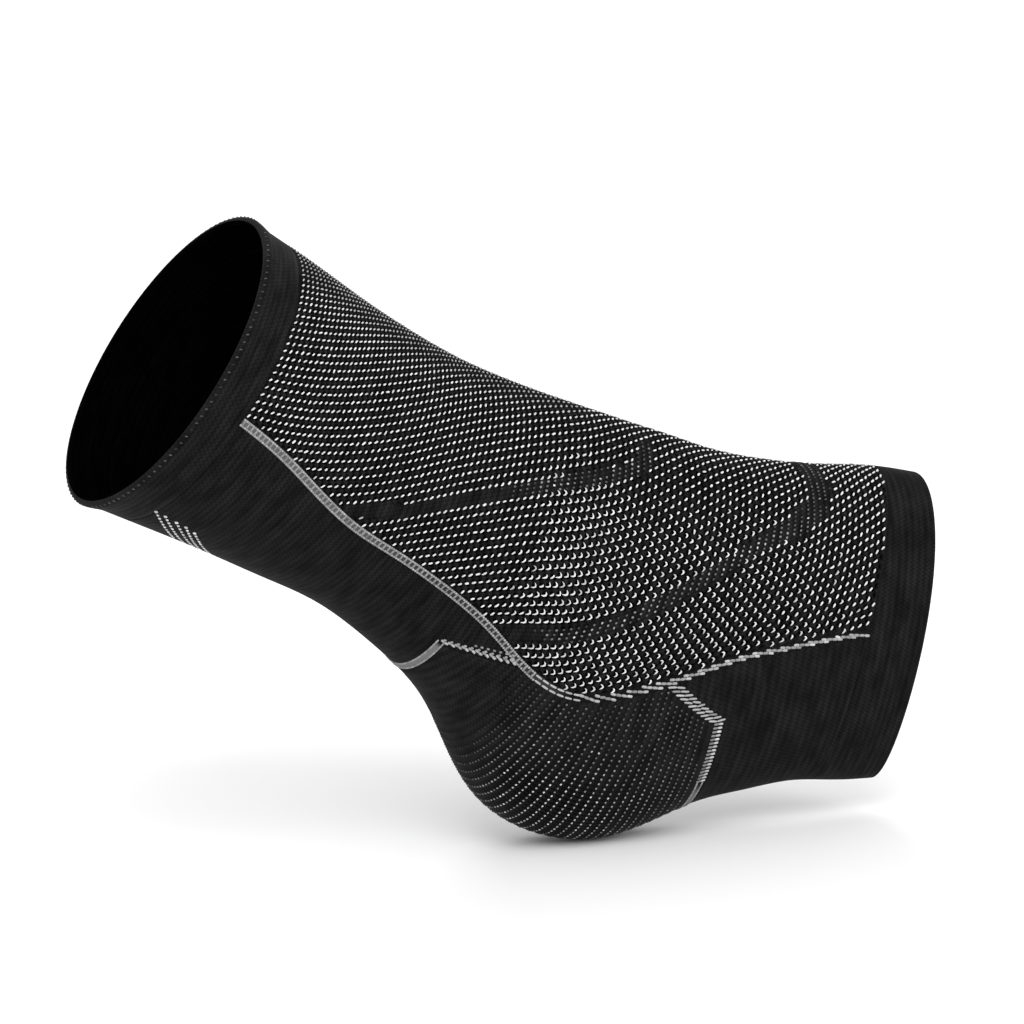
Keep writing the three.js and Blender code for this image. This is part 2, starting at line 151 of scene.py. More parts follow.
# The white stitches as (rows, values): lean towards the front line in degrees, length and length of the
# hook's arm in mm, and the turn over the shin from which they begin to reach their full tone.
LEANS = ((0, 4, 6, 8, 9.5, 12, 15), (54, 62, 60, 50, 40, 40, 50))
LENGTHS = ((0, 4.5, 7, 9, 12, 15), (1.3, 1.3, 1.5, 1.3, 1.35, 1.7))
ARMS = ((0, 6, 7.5, 10, 15), (0.6, 1.2, 1.35, 0.9, 0.7))
SHIN = ((0, 3, 5, 7, 8), (0.07, 0.06, 0.04, 0.02, -0.05))

# Where points lie across a raised stitch, as shares of its half width, and their heights as shares of its
# rise.
ACROSS = np.array([-1.0, -0.6, 0.0, 0.6, 1.0])
LIFTS = np.array([-0.35, 0.7, 1.0, 0.7, -0.35])

# How far dim dots and grey stitches stand out.
DOT_RISE = 0.2 * MM
LINE_RISE = 0.3 * MM

# The heel shows no dots above this row. They are strongest at a (row, turn), and fade away from it over so
# much of each.
HEEL_DOTS_ROW = 6.6
HEEL_BRIGHT = (8.7, 0.43)
HEEL_FADE = (1.3, 0.055)

# Rows where the side line turns from bars into rails, from rails into dashes, and where the dashes bend.
RAILS_ROW = 7.3
DASHES_ROW = 8.35
BEND_ROW = 9.4

# Dotted patch behind the leg opening: each column's top and bottom as (row, turn).
BACK_COLUMNS = np.array([
    (0.51, 0.414, 1.27, 0.476), (0.66, 0.416, 1.6, 0.49), (0.85, 0.419, 1.7, 0.484),
    (1.02, 0.421, 1.9, 0.49), (1.21, 0.426, 2.0, 0.484),
])


def linear(hex_colour):
    """Linear RGBA of an sRGB hex colour: a channel c is c / 12.92 where it is small, and otherwise
    c plus 0.055, over 1.055, to the power 2.4."""
    channels = np.array([int(hex_colour[i:i + 2], 16) for i in (1, 3, 5)]) / 255
    low = channels / 12.92
    high = ((channels + 0.055) / 1.055) ** 2.4
    return (*np.where(channels <= 0.04045, low, high).tolist(), 1.0)


def metres(name, description, default):
    """A size in metres."""
    return bpy.props.FloatProperty(name=name, description=description, default=default, unit="LENGTH")


def dye(name, description, hex_colour):
    """A colour, kept as linear RGBA."""
    return bpy.props.FloatVectorProperty(
        name=name, description=description, subtype="COLOR", size=4, default=linear(hex_colour))


class SleeveSizes(bpy.types.PropertyGroup):
    """Sizes of the cloth, as in the part's source."""

    run: metres("Run", "Leg rim's middle to foot rim's middle, along X", 0.231)
    drop: metres("Drop", "Leg rim's middle to foot rim's middle, down Z", 0.0975)
    leg_depth: metres("Leg depth", "Leg opening, front to back", 0.094)
    leg_width: metres("Leg width", "Leg opening, side to side", 0.088)
    wall: metres("Wall", "Thickness of the knitted wall", 0.002)
    leg_cuff: metres("Leg cuff", "Plain band below the leg rim", 0.013)
    foot_cuff_top: metres("Foot cuff on top", "Plain band at the foot rim, over the instep", 0.0125)
    foot_cuff_sole: metres("Foot cuff below", "Plain band at the foot rim, under the sole", 0.0225)
    welt_rise: metres("Welt rise", "How far the leg rim's welt stands out", 0.0009)
    welt_length: metres("Welt length", "How far the welt reaches from the rim", 0.007)
    outline_width: metres("Outline width", "Width of the grey knitted lines", 0.0026)


class StitchSizes(bpy.types.PropertyGroup):
    """Sizes of the stitches."""

    stitch_width: metres("White stitch width", "Width of the yarn of a white stitch", 0.0007)
    stitch_rise: metres("White stitch rise", "How far a white stitch stands out", 0.00028)
    channel_width: metres("Channel width", "Width of the dark channels in the dotted panel", 0.0036)
    rung_pitch: metres("Rung pitch", "Step of the bars across the side lines", 0.00165)
    dash_length: metres("Dash length", "Length of the side lines' dashes on the foot", 0.0073)
    dash_step: metres("Dash step", "Step of the side lines' dashes on the foot", 0.0048)
    rim_pitch: metres("Rim pitch", "Step of the small loops round the leg rim", 0.0024)


class KnitColours(bpy.types.PropertyGroup):
    """Colours of the yarns, of the inside with its painted shade, and of the stage."""

    black: dye("Black yarn", "Ground of the whole sleeve", "#171717")
    # Painted shade: the inside's colour is far darker than the black yarn, so that the inside shows as dark
    # as deep shadow.
    shaded_inside: dye("Inside", "Inner face of the knit", "#030303")
    white: dye("White yarn", "Dots of the instep panel", "#e8e8e8")
    grey: dye("Grey yarn", "Lines between the panels", "#e0e0e0")
    floor: dye("Floor", "Floor of the stage", "#f6f6f6")


def measured(vectors):
    """Lengths of vectors."""
    return np.linalg.norm(vectors, axis=-1)


def unit(vectors):
    """Vectors over their own length."""
    return vectors / measured(vectors)[..., None]


class Curve:
    """The smooth curve through points: the natural cubic spline of each row of values over knots."""

    def __init__(self, knots, values):
        """Its bends solve one equation for each inner knot: the gap before it times the bend before, twice
        both gaps times its own bend and the gap after it times the bend after add up to six times the
        change of slope. The bends at both ends are zero."""
        self.knots = np.asarray(knots, float)
        self.values = np.asarray(values, float)
        gaps = np.diff(self.knots)
        weights = np.eye(len(self.knots))
        inner = np.arange(1, len(self.knots) - 1)
        weights[inner, inner] = 2 * (gaps[:-1] + gaps[1:])
        weights[inner, inner - 1] = gaps[:-1]
        weights[inner, inner + 1] = gaps[1:]
        change = np.zeros_like(self.values)
        change[..., 1:-1] = 6 * np.diff(np.diff(self.values) / gaps)
        self.bends = np.linalg.solve(weights, change.T).T

    def at(self, places):
        """Between two knots: the straight line, and each end's bend over six times the cube of its share
        less that share, times the gap squared."""
        places = np.asarray(places, float)
        i = np.clip(np.searchsorted(self.knots, places, side="right") - 1, 0, len(self.knots) - 2)
        gap = self.knots[i + 1] - self.knots[i]
        ahead = (places - self.knots[i]) / gap
        behind = 1 - ahead
        bow = (behind ** 3 - behind) * self.bends[..., i] + (ahead ** 3 - ahead) * self.bends[..., i + 1]
        return self.values[..., i] * behind + self.values[..., i + 1] * ahead + bow * gap ** 2 / 6


class Cloth:
    """The outer surface of the sleeve, and the lines and stitches on it."""

    TABLE_ROWS = 301
    TABLE_TURNS = 361
    ROW_STEP = 0.01
    TURN_STEP = 0.001

    def __init__(self, sizes):
        self.sizes = sizes
        self.sections = Curve(np.arange(len(SECTIONS)), SECTIONS.T)
        self.side = Curve(*SIDE_LINE.T)
        self.knit = Curve(KNIT_ROWS, (FRONT_COURSES, SIDE_LEAD, SIDE_WALES))
        self.seat = np.zeros(3)
        self.measure_rings()
        rows = np.linspace(0, LAST_ROW, self.TABLE_ROWS)
        inside = self.lifted(rows, np.full_like(rows, 0.5), -sizes.wall)
        self.seat = inside[inside[:, 2].argmin()]
        self.leg_cuff_row = self.rows_from(0, sizes.leg_cuff)
        self.foot_join_row = LAST_ROW - 1.0
        for _ in range(8):
            self.foot_join_row = float(self.foot_cuff_row(self.side.at(self.foot_join_row)))

    def ring_point(self, row, angle):
        """A point of a section: its middle, plus half its depth along its lean times the angle's cosine,
        and over -Y half its width times the sine, times one plus egg times the cosine."""
        x, z, lean, depth, width, egg = self.sections.at(np.clip(row, 0, LAST_ROW))
        forward = depth * self.sizes.leg_depth / 2 * np.cos(angle)
        lean = np.radians(lean)
        side = -width * self.sizes.leg_width / 2 * np.sin(angle) * (1 + egg * np.cos(angle))
        return np.stack(np.broadcast_arrays(
            x * self.sizes.run + forward * np.cos(lean),
            side,
            z * self.sizes.drop + forward * np.sin(lean),
        ), -1) - self.seat

    def measure_rings(self):
        """A table of the angle at even shares of each ring's length, so that turns are even on the cloth.
        All rings are read as one long list, each on a shelf two higher than the last."""
        rows = np.linspace(0, LAST_ROW, self.TABLE_ROWS)[:, None]
        angles = np.linspace(0, 2 * np.pi, self.TABLE_TURNS)[None, :]
        points = self.ring_point(rows, angles)
        steps = measured(np.diff(points, axis=1))
        run = np.concatenate([np.zeros_like(rows), np.cumsum(steps, axis=1)], axis=1)
        self.girths = run[:, -1]
        shelf = 2.0 * np.arange(self.TABLE_ROWS)[:, None]
        wanted = np.linspace(0, 1, self.TABLE_TURNS)[None, :] + shelf
        known = run / run[:, -1:] + shelf
        spread = np.broadcast_to(angles, known.shape)
        self.angles = np.interp(wanted.ravel(), known.ravel(), spread.ravel()).reshape(wanted.shape)

    def point(self, row, turn):
        """A point of the outer surface: the table's angle for that row and turn, put into its section."""
        row, turn = np.broadcast_arrays(np.asarray(row, float), np.asarray(turn, float))
        whole = np.floor(turn)
        across = (turn - whole) * (self.TABLE_TURNS - 1)
        down = np.clip(row, 0, LAST_ROW) * (self.TABLE_ROWS - 1) / LAST_ROW
        i = np.minimum(down.astype(int), self.TABLE_ROWS - 2)
        j = np.minimum(across.astype(int), self.TABLE_TURNS - 2)
        down, across = down - i, across - j
        angle = (
            (1 - down) * ((1 - across) * self.angles[i, j] + across * self.angles[i, j + 1])
            + down * ((1 - across) * self.angles[i + 1, j] + across * self.angles[i + 1, j + 1])
        )
        return self.ring_point(row, angle + 2 * np.pi * whole)

    def directions(self, row, turn):
        """Metres that one row and one turn measure there, as vectors, and the outward normal, from the
        difference of points a little before and after."""
        row, turn = np.broadcast_arrays(np.asarray(row, float), np.asarray(turn, float))
        down, over = 2 * self.ROW_STEP, 2 * self.TURN_STEP
        before, after = np.maximum(row - down, 0), np.minimum(row + down, LAST_ROW)
        along = (self.point(after, turn) - self.point(before, turn)) / (after - before)[..., None]
        around = (self.point(row, turn + over) - self.point(row, turn - over)) / (2 * over)
        return along, around, unit(np.cross(around, along))

    def axes(self, row, turn):
        """Unit vectors straight along the cloth, round it the way that turns grow, and out of it."""
        along, _, normal = self.directions(row, turn)
        along = unit(along)
        return along, np.cross(along, normal), normal

    def lifted(self, row, turn, height):
        """The outer surface moved out by a height along its normal."""
        normal = self.directions(row, turn)[2]
        return self.point(row, turn) + normal * np.asarray(height, float)[..., None]

    def rows_from(self, end_row, length):
        """Rows that a length of cloth covers at an end of the sleeve, along its middle line."""
        inward = self.ROW_STEP if end_row == 0 else -self.ROW_STEP
        x, z = self.sections.at(np.array([end_row, end_row + inward]))[:2]
        step = np.hypot(np.diff(x * self.sizes.run), np.diff(z * self.sizes.drop))[0]
        return length / (step / self.ROW_STEP)

    def foot_cuff_row(self, turn):
        """Edge of the foot cuff: its width grows from the instep to the sole with the sine of half a turn."""
        top, sole = self.sizes.foot_cuff_top, self.sizes.foot_cuff_sole
        width = top + (sole - top) * np.abs(np.sin(np.pi * np.asarray(turn)))
        return LAST_ROW - self.rows_from(LAST_ROW, 1.0) * width

    def crossing(self, line, share):
        """A line across the back with two corners: straight from the side line to the corner, then level
        to the other corner."""
        from_side = np.minimum(share, 1 - share)
        slant = np.minimum(from_side / CORNER_SHARE, 1)
        level = np.maximum(from_side - CORNER_SHARE, 0) / (0.5 - CORNER_SHARE)
        join_turn = self.side.at(line["join"])
        turn = join_turn + (line["corner"] - join_turn) * slant + (0.5 - line["corner"]) * level
        row = line["join"] + (line["level"] - line["join"]) * slant
        return row, np.where(share > 0.5, 1 - turn, turn)

    def stitch_at(self, row, turn):
        """Course and wale of the dotted panel at a place: the front line's courses plus the lead times the
        square of the turn over 0.3, and the wales to the side times the turn over 0.3."""
        courses, lead, wales = self.knit.at(row)
        share = np.asarray(turn, float) / SIDE_TURN
        return courses + lead * share ** 2, wales * share

    def heel_stitch_at(self, row, turn):
        """Course and wale of the heel at a place: so many courses a row, less the lag times the square of
        the distance from the back line, and wales counted from the back line."""
        share = (0.5 - np.asarray(turn, float)) / HEEL_SIDE
        lag = np.interp(row, HEEL_ROWS, HEEL_LAG)
        course = HEEL_COURSES * (np.asarray(row, float) - HEEL_ROWS[0]) - lag * share ** 2
        return course, share * HEEL_SIDE * HEEL_WALES

    def rib_at(self, row, turn):
        """Ribs and wales of a plain panel: the running sum of the ribs in each row, and even wales."""
        rows = np.linspace(0, LAST_ROW, self.TABLE_ROWS)
        rate = np.interp(rows, RIBS[:, 0], RIBS[:, 1])
        sums = np.concatenate([[0], np.cumsum((rate[1:] + rate[:-1]) / 2 * np.diff(rows))])
        return np.interp(row, rows, sums), np.asarray(turn, float) * WALES

    def side_slope(self, row):
        """Metres that one turn at a row moves a place straight away from the side line: the turn's length
        times the part of the line's heading that runs along the sleeve."""
        step = 2 * self.ROW_STEP
        row = np.clip(row, step, LAST_ROW - step)
        along, around, _ = self.directions(row, self.side.at(row))
        rise = (self.side.at(row + step) - self.side.at(row - step)) / (2 * step)
        ahead, aside = measured(along), measured(around)
        return aside * ahead / np.hypot(ahead, aside * rise)

    def places_of(self, counter, course, wale, row, turn):
        """The places of stitches, by Newton's method from a first guess: the course's and the wale's misses
        over their slopes, added to row and turn a few times."""
        for _ in range(14):
            here = counter(row, turn)
            down, over = counter(row + self.ROW_STEP, turn), counter(row, turn + self.TURN_STEP)
            course_down, wale_down = ((down[k] - here[k]) / self.ROW_STEP for k in (0, 1))
            course_over, wale_over = ((over[k] - here[k]) / self.TURN_STEP for k in (0, 1))
            miss_course, miss_wale = course - here[0], wale - here[1]
            size = course_down * wale_over - course_over * wale_down
            row = row + np.clip((miss_course * wale_over - course_over * miss_wale) / size, -0.5, 0.5)
            turn = turn + np.clip((course_down * miss_wale - miss_course * wale_down) / size, -0.05, 0.05)
            row = np.clip(row, -1.0, LAST_ROW + 1.0)
        return row, turn


def fill(tree, node, inputs):
    """Fills a node's inputs: a socket is linked, anything else is set."""
    for key, value in inputs.items():
        if isinstance(value, bpy.types.NodeSocket):
            tree.links.new(value, node.inputs[key])
        else:
            node.inputs[key].default_value = value


def add_node(tree, kind, inputs=None, **settings):
    """Adds a node, sets its properties and fills its inputs."""
    new = tree.nodes.new(kind)
    for name, value in settings.items():
        setattr(new, name, value)
    fill(tree, new, inputs or {})
    return new


def maths(tree, operation, *values):
    """The result of a math node on sockets and numbers."""
    return add_node(tree, "ShaderNodeMath", dict(enumerate(values)), operation=operation).outputs["Value"]


def carried(tree, value, from_low, from_high, to_low, to_high):
    """A value carried over from one range to another, and held at its ends."""
    return add_node(tree, "ShaderNodeMapRange", {
        "Value": value, "From Min": from_low, "From Max": from_high, "To Min": to_low, "To Max": to_high,
    }).outputs["Result"]


def new_material(name):
    """An empty node material with its output and shader, and its tree."""
    material = bpy.data.materials.new(name)
    material.use_nodes = True
    tree = material.node_tree
    tree.nodes.clear()
    shader = add_node(tree, "ShaderNodeBsdfPrincipled")
    add_node(tree, "ShaderNodeOutputMaterial", {"Surface": shader.outputs["BSDF"]})
    return material, tree, shader


def knit_material(name, colour, dotted=0, gloss=0.03):
    """Nylon and elastane yarn, circular knitted and dyed black: nearly black and matt, with a faint glow
    towards its outline. The knit map holds a hundredth of the wale and of the course, so the small V of
    each stitch is one wale wide and one course high, with painted shade in the gaps between its loops and
    ribs of varied tone. dotted paints shade on the ground round each white stitch, as far as the tone of
    the cloth says: 1 for a stitch at every other place, 2 for one at every place."""
    old = bpy.data.materials.get(name)
    if old:
        return old
    material, tree, shader = new_material(name)
    place = add_node(tree, "ShaderNodeUVMap", uv_map="knit")
    counts = add_node(tree, "ShaderNodeSeparateXYZ", {"Vector": place.outputs["UV"]})
    wale, course = (maths(tree, "MULTIPLY", counts.outputs[axis], MAP_UNIT) for axis in ("X", "Y"))
    slanted = maths(tree, "MULTIPLY_ADD", maths(tree, "PINGPONG", wale, 0.5), -0.9, course)
    loops = maths(tree, "COSINE", maths(tree, "MULTIPLY", slanted, 2 * np.pi))
    strewn = add_node(tree, "ShaderNodeCombineXYZ", {"X": maths(tree, "MULTIPLY", wale, 0.22), "Y": course})
    ribs = add_node(tree, "ShaderNodeTexNoise", {
        "Vector": strewn.outputs["Vector"], "Scale": 0.5, "Detail": 3.0, "Roughness": 0.6})
    # Painted shade: the gaps between the yarn loops are darker. The rib bands are the knit's own tone.
    gaps = carried(tree, loops, -1.0, 0.6, 0.55, 1.1)
    shade = maths(tree, "MULTIPLY", gaps, carried(tree, ribs.outputs["Fac"], 0.35, 0.65, 0.6, 1.5))
    # Painted shade on the ground round each stitch place, as strong as the tone attribute says.
    if dotted:
        waves = [
            maths(tree, "COSINE", maths(tree, "MULTIPLY", count, np.pi * dotted)) for count in (wale, course)]
        shade_round_stitches = carried(tree, maths(tree, "MULTIPLY", *waves), -0.3, 0.25, 1.15, 0.02)
        strength = add_node(tree, "ShaderNodeAttribute", attribute_name="tone")
        halo_shade = add_node(tree, "ShaderNodeMix", {
            "Factor": strength.outputs["Fac"], "A": 1.2, "B": shade_round_stitches}, data_type="FLOAT")
        shade = maths(tree, "MULTIPLY", shade, halo_shade.outputs[0])
    # The black dye, times the rib tone and the painted shade.
    dyed = add_node(tree, "ShaderNodeVectorMath", {0: tuple(colour)[:3], "Scale": shade}, operation="SCALE")
    bump = add_node(tree, "ShaderNodeBump", {"Height": shade, "Strength": 0.5, "Distance": 0.2 * MM})
    fill(tree, shader, {
        "Base Color": dyed.outputs["Vector"], "Normal": bump.outputs["Normal"], "Roughness": 0.8,
        "Specular IOR Level": gloss, "Sheen Weight": gloss, "Sheen Roughness": 0.4})
    return material


def yarn_material(name, colour):
    """Polyester yarn, knitted in: its stitches vary in tone, down to the black of the ground, and fibres
    mottle it. The fibres are drawn 0.35 mm apart, coarser than the real 0.02 mm, so that they show."""
    old = bpy.data.materials.get(name)
    if old:
        return old
    material, tree, shader = new_material(name)
    tone = add_node(tree, "ShaderNodeAttribute", attribute_name="tone")
    place = add_node(tree, "ShaderNodeTexCoord")
    fibres = add_node(tree, "ShaderNodeTexNoise", {
        "Vector": place.outputs["Object"], "Scale": 1 / (0.35 * MM), "Detail": 2.0}).outputs["Fac"]
    level = maths(tree, "MULTIPLY", tone.outputs["Fac"], carried(tree, fibres, 0.3, 0.7, 0.8, 1.0))
    dyed = add_node(tree, "ShaderNodeMix", {
        "Factor": level, 6: linear("#101010"), 7: tuple(colour)}, data_type="RGBA")
    bump = add_node(tree, "ShaderNodeBump", {"Height": fibres, "Strength": 0.3, "Distance": 0.1 * MM})
    fill(tree, shader, {
        "Base Color": dyed.outputs[2], "Normal": bump.outputs["Normal"], "Roughness": 0.75,
        "Specular IOR Level": 0.05})
    return material


def black_and_shaded_inside(colours, dotted=0):
    """The two knit materials of a wall: its outer face, and its inner face with painted shade."""
    name = "Black nylon knit, " + ("plain", "dotted panel", "heel")[dotted]
    # The inside is painted shade: a near-black colour, and no gloss.
    return [knit_material(name, colours.black, dotted, 0.01 if dotted == 1 else 0.03),
            knit_material("Black nylon knit, inside, painted shade", colours.shaded_inside, gloss=0.0)]


class Body:
    """Gathers points and faces, then makes one piece of them."""

    def __init__(self):
        self.count = 0
        self.points, self.tones, self.faces, self.places, self.slots, self.rounded = ([] for _ in range(6))

    def add(self, points, tones, faces, places=None, slot=0, rounded=True):
        """Adds points with their tones, and groups of faces with their map places, their material slots
        and whether they are shaded as one round surface."""
        for group in faces:
            self.faces.append(group + self.count)
            self.places.append(np.zeros((*group.shape, 2)) if places is None else places)
            self.slots.append(np.broadcast_to(slot, len(group)))
            self.rounded.append(np.broadcast_to(rounded, len(group)))
        self.points.append(points)
        self.tones.append(np.broadcast_to(tones, len(points)))
        self.count += len(points)

    def add_wall(self, cloth, rows, turns, closed, counter, outer=0.0, inner=None, tones=0.0):
        """A wall of cloth over a grid of places: a skin at a height, an inner face at another, which takes
        the inside material with its painted shade, and the edges between them. Its map places are the
        counter's wales and courses."""
        down, across = rows.shape
        count = down * across
        inner = -cloth.sizes.wall if inner is None else inner
        points = np.concatenate([
            cloth.lifted(rows, turns, height).reshape(-1, 3) for height in (outer, inner)])
        course, wale = counter(rows, turns)
        flat = np.stack([wale, course], -1).reshape(-1, 2) / MAP_UNIT
        a = (np.arange(down - 1)[:, None] * across + np.arange(across - 1)).ravel()
        b, c, d = a + across, a + across + 1, a + 1
        skin = np.stack([a, d, c, b], 1)
        shaded_inside = np.stack([a, b, c, d], 1) + count

        def edge(corners, step):
            """Quads from the skin to the lining, along corners that are so many points apart."""
            return np.stack([corners, corners + count, corners + step + count, corners + step], 1)

        top, left = np.arange(across - 1), np.arange(down - 1) * across
        groups = [skin, shaded_inside, edge(top, 1), np.roll(edge(top + (down - 1) * across, 1)[:, ::-1], 1, 1)]
        if not closed:
            groups += [np.roll(edge(left, across)[:, ::-1], 1, 1), edge(left + across - 1, across)]
        quads = np.concatenate(groups)
        places = np.concatenate([flat, flat])[quads]
        number = np.arange(len(quads))
        rounded = number < len(skin) + len(shaded_inside)
        slot = np.where(rounded & (number >= len(skin)), 1, 0)
        tones = np.broadcast_to(tones, rows.shape).ravel()
        tones = np.concatenate([tones, tones])
        if closed:
            last_column = quads % count % across == across - 1
            quads = np.where(last_column, quads - (across - 1), quads)
            keep = np.arange(len(points)) % count % across < across - 1
            quads = (np.cumsum(keep) - 1)[quads]
            points, tones = points[keep], tones[keep]
        self.add(points, tones, [quads], places, slot, rounded)

    def add_stitches(self, points, tones):
        """Raised stitches, each a grid of points: strips of quads along it, and a fan at its tips."""
        count, size = points.shape[:2]
        wide = len(ACROSS)
        stations = (size - 2) // wide
        strips = np.arange(wide - 1)
        a = (np.arange(stations - 1)[:, None] * wide + strips).ravel()
        quads = np.stack([a, a + wide, a + wide + 1, a + 1], 1)
        last, tip = (stations - 1) * wide + strips, np.full(len(strips), stations * wide)
        fans = np.concatenate([
            np.stack([tip, strips, strips + 1], 1), np.stack([last, tip + 1, last + 1], 1)])
        shift = np.arange(count)[:, None, None] * size
        faces = [(quads + shift).reshape(-1, 4), (fans + shift).reshape(-1, 3)]
        self.add(points.reshape(-1, 3), np.repeat(np.broadcast_to(tones, count), size), faces)

    def put(self, name, materials, replaced, slot, mirror=False):
        """Makes the piece, rides it on the body and lets it stand for its CAD nodes. mirror makes the one
        of the other side: Y changes its sign, and each face runs the other way."""
        order = slice(None, None, -1 if mirror else 1)
        points = np.concatenate(self.points) * np.array([1, -1 if mirror else 1, 1])
        faces = []
        for group in self.faces:
            faces += group[:, order].tolist()
        places = [group[:, order].reshape(-1, 2) for group in self.places]
        mesh = bpy.data.meshes.new(name)
        mesh.from_pydata(points.tolist(), [], faces)
        mesh.polygons.foreach_set("use_smooth", np.concatenate(self.rounded))
        mesh.polygons.foreach_set("material_index", np.concatenate(self.slots).astype(np.int32))
        layer = mesh.uv_layers.new(name="knit")
        layer.data.foreach_set("uv", np.concatenate(places).astype(np.float32).ravel())
        tone = mesh.attributes.new("tone", "FLOAT", "POINT")
        tone.data.foreach_set("value", np.concatenate(self.tones).astype(np.float32))
        for material in materials:
            mesh.materials.append(material)
        mesh.validate()
        mesh.update()
        piece = bpy.data.objects.new(name, mesh)
        bpy.context.scene.collection.objects.link(piece)
        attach(piece, "root")
        if replaced:
            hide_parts(replaced)


def patch_place(lines, u, v):
    """A place on the smooth patch between four lines, left, right, top and bottom, each a function of a
    share: the blend of the two sides, plus the blend of the two ends, less the blend of the corners."""
    left, right, top, bottom = lines

    def sides(share):
        return [(1 - u) * first + u * last for first, last in zip(left(share), right(share))]

    ends = [(1 - v) * first + v * last for first, last in zip(top(u), bottom(u))]
    corners = zip(sides(np.zeros_like(v)), sides(np.ones_like(v)))
    return [
        side + end - (1 - v) * upper - v * lower
        for side, end, (upper, lower) in zip(sides(v), ends, corners)]


def drawn_in(cloth, lines, distance, u, v, along_across):
    """The share of the patch that a distance from one of its lines takes: the distance over the height of
    the small cell there, times the small step."""
    step = 0.01
    here = cloth.point(*patch_place(lines, u, v))
    over_u = cloth.point(*patch_place(lines, u + np.where(u < 0.5, step, -step), v)) - here
    over_v = cloth.point(*patch_place(lines, u, v + np.where(v < 0.5, step, -step))) - here
    edge = measured(over_v if along_across else over_u)
    return distance * step * edge / measured(np.cross(over_u, over_v))


def patch(cloth, lines, down, across, insets):
    """A grid of places on the patch between four lines, drawn in from each of them by an inset."""
    v, u = np.meshgrid(np.linspace(0, 1, down + 1), np.linspace(0, 1, across + 1), indexing="ij")
    left, right = (drawn_in(cloth, lines, insets[k], np.full_like(u, k), v, True) for k in (0, 1))
    top, bottom = (drawn_in(cloth, lines, insets[k + 2], u, np.full_like(v, k), False) for k in (0, 1))
    return patch_place(lines, left + u * (1 - left - right), top + v * (1 - top - bottom))


def side_line(cloth, from_row, to_row, mirror=None):
    """A stretch of the side line as a function of a share. mirror is what its turn is taken from."""
    def line(share):
        row = from_row + (to_row - from_row) * share
        turn = cloth.side.at(row)
        return row, turn if mirror is None else mirror - turn
    return line


def cuff_edge(row_at, from_turn, to_turn):
    """The edge of a cuff between two turns, as a function of a share."""
    def line(share):
        turn = from_turn + (to_turn - from_turn) * share
        return row_at(turn), turn
    return line


def plain_grids(cloth):
    """Grids of places of the three plain panels: behind the ankle, round the heel and under the foot."""
    top, join = cloth.leg_cuff_row, cloth.foot_join_row
    ends = [top, HEEL_TOP["join"], HEEL_FRONT["join"], join]
    leg_turn, foot_turn = cloth.side.at(top), cloth.side.at(join)
    levels = [
        cuff_edge(lambda turn: top + 0 * turn, leg_turn, 1 - leg_turn),
        lambda share: cloth.crossing(HEEL_TOP, share),
        lambda share: cloth.crossing(HEEL_FRONT, share),
        cuff_edge(cloth.foot_cuff_row, foot_turn, 1 - foot_turn),
    ]
    beside = cloth.sizes.outline_width / 2 + SEAM
    grids = []
    for k in range(3):
        lines = (side_line(cloth, ends[k], ends[k + 1]), side_line(cloth, ends[k], ends[k + 1], 1.0),
                 levels[k], levels[k + 1])
        insets = (beside, beside, beside if k > 0 else SEAM, beside if k < 2 else SEAM)
        grids.append(patch(cloth, lines, 60, 100, insets))
    return grids


def raised_stitches(cloth, row, turn, start, bend, end, width, rise, point=0.0, stations=5):
    """Small raised stitches. Each follows a bent line on the cloth: the share left squared times its start,
    twice the share times the share left times its bend, and the share squared times its end, as metres
    along the rows and round the turns. Its width and height fall off to both ends, bluntly as the root of
    one less the fourth power of the distance from its middle, or to a point as one less its square, to
    the power 0.8."""
    along, over, normal = cloth.axes(row, turn)
    place = cloth.point(row, turn)
    reach = np.sin(np.linspace(-1, 1, stations + 2) * np.pi / 2)
    share = ((reach + 1) / 2)[None, :, None]
    start, bend, end = start[:, None], bend[:, None], end[:, None]
    path = (1 - share) ** 2 * start + 2 * share * (1 - share) * bend + share ** 2 * end
    ahead = unit(2 * (1 - share) * (bend - start) + 2 * share * (end - bend))
    blunt, sharp = np.sqrt(np.maximum(1 - reach ** 4, 0)), np.maximum(1 - reach ** 2, 0) ** 0.8
    point = np.broadcast_to(point, row.shape)[:, None]
    fall = ((1 - point) * blunt + point * sharp)[..., None]
    width, rise = (np.broadcast_to(value, row.shape)[:, None, None] for value in (width, rise))
    half = (width / 2 * fall * ACROSS)[:, 1:-1, :, None]
    flat = path[:, 1:-1, None] - sideways(ahead)[:, 1:-1, None] * half
    high = (rise * fall * LIFTS)[:, 1:-1]
    tips = path[:, (0, -1)]
    low = np.broadcast_to(rise[:, 0] * LIFTS[0], tips.shape[:-1])
    flat = np.concatenate([flat.reshape(len(place), -1, 2), tips], 1)
    high = np.concatenate([high.reshape(len(place), -1), low], 1)
    return (
        place[:, None] + along[:, None] * flat[..., :1] + over[:, None] * flat[..., 1:]
        + normal[:, None] * high[..., None]
    )


def sideways(heading):
    """Headings turned by a quarter."""
    return np.stack([-heading[..., 1], heading[..., 0]], -1)


def strokes(cloth, place, heading, length, width, rise, bow=0.0):
    """Raised stitches that run straight along their headings, or bent aside by a bow."""
    row, turn = place
    half = heading * np.broadcast_to(length, row.shape)[:, None] / 2
    return raised_stitches(
        cloth, row, turn, -half, sideways(heading) * bow, half, width, rise, stations=3)


def moved(cloth, place, step):
    """Places moved by steps of so many metres straight along and round the cloth."""
    row, turn = place
    along, around, _ = cloth.directions(row, turn)
    return row + step[:, 0] / measured(along), turn + step[:, 1] / measured(around)


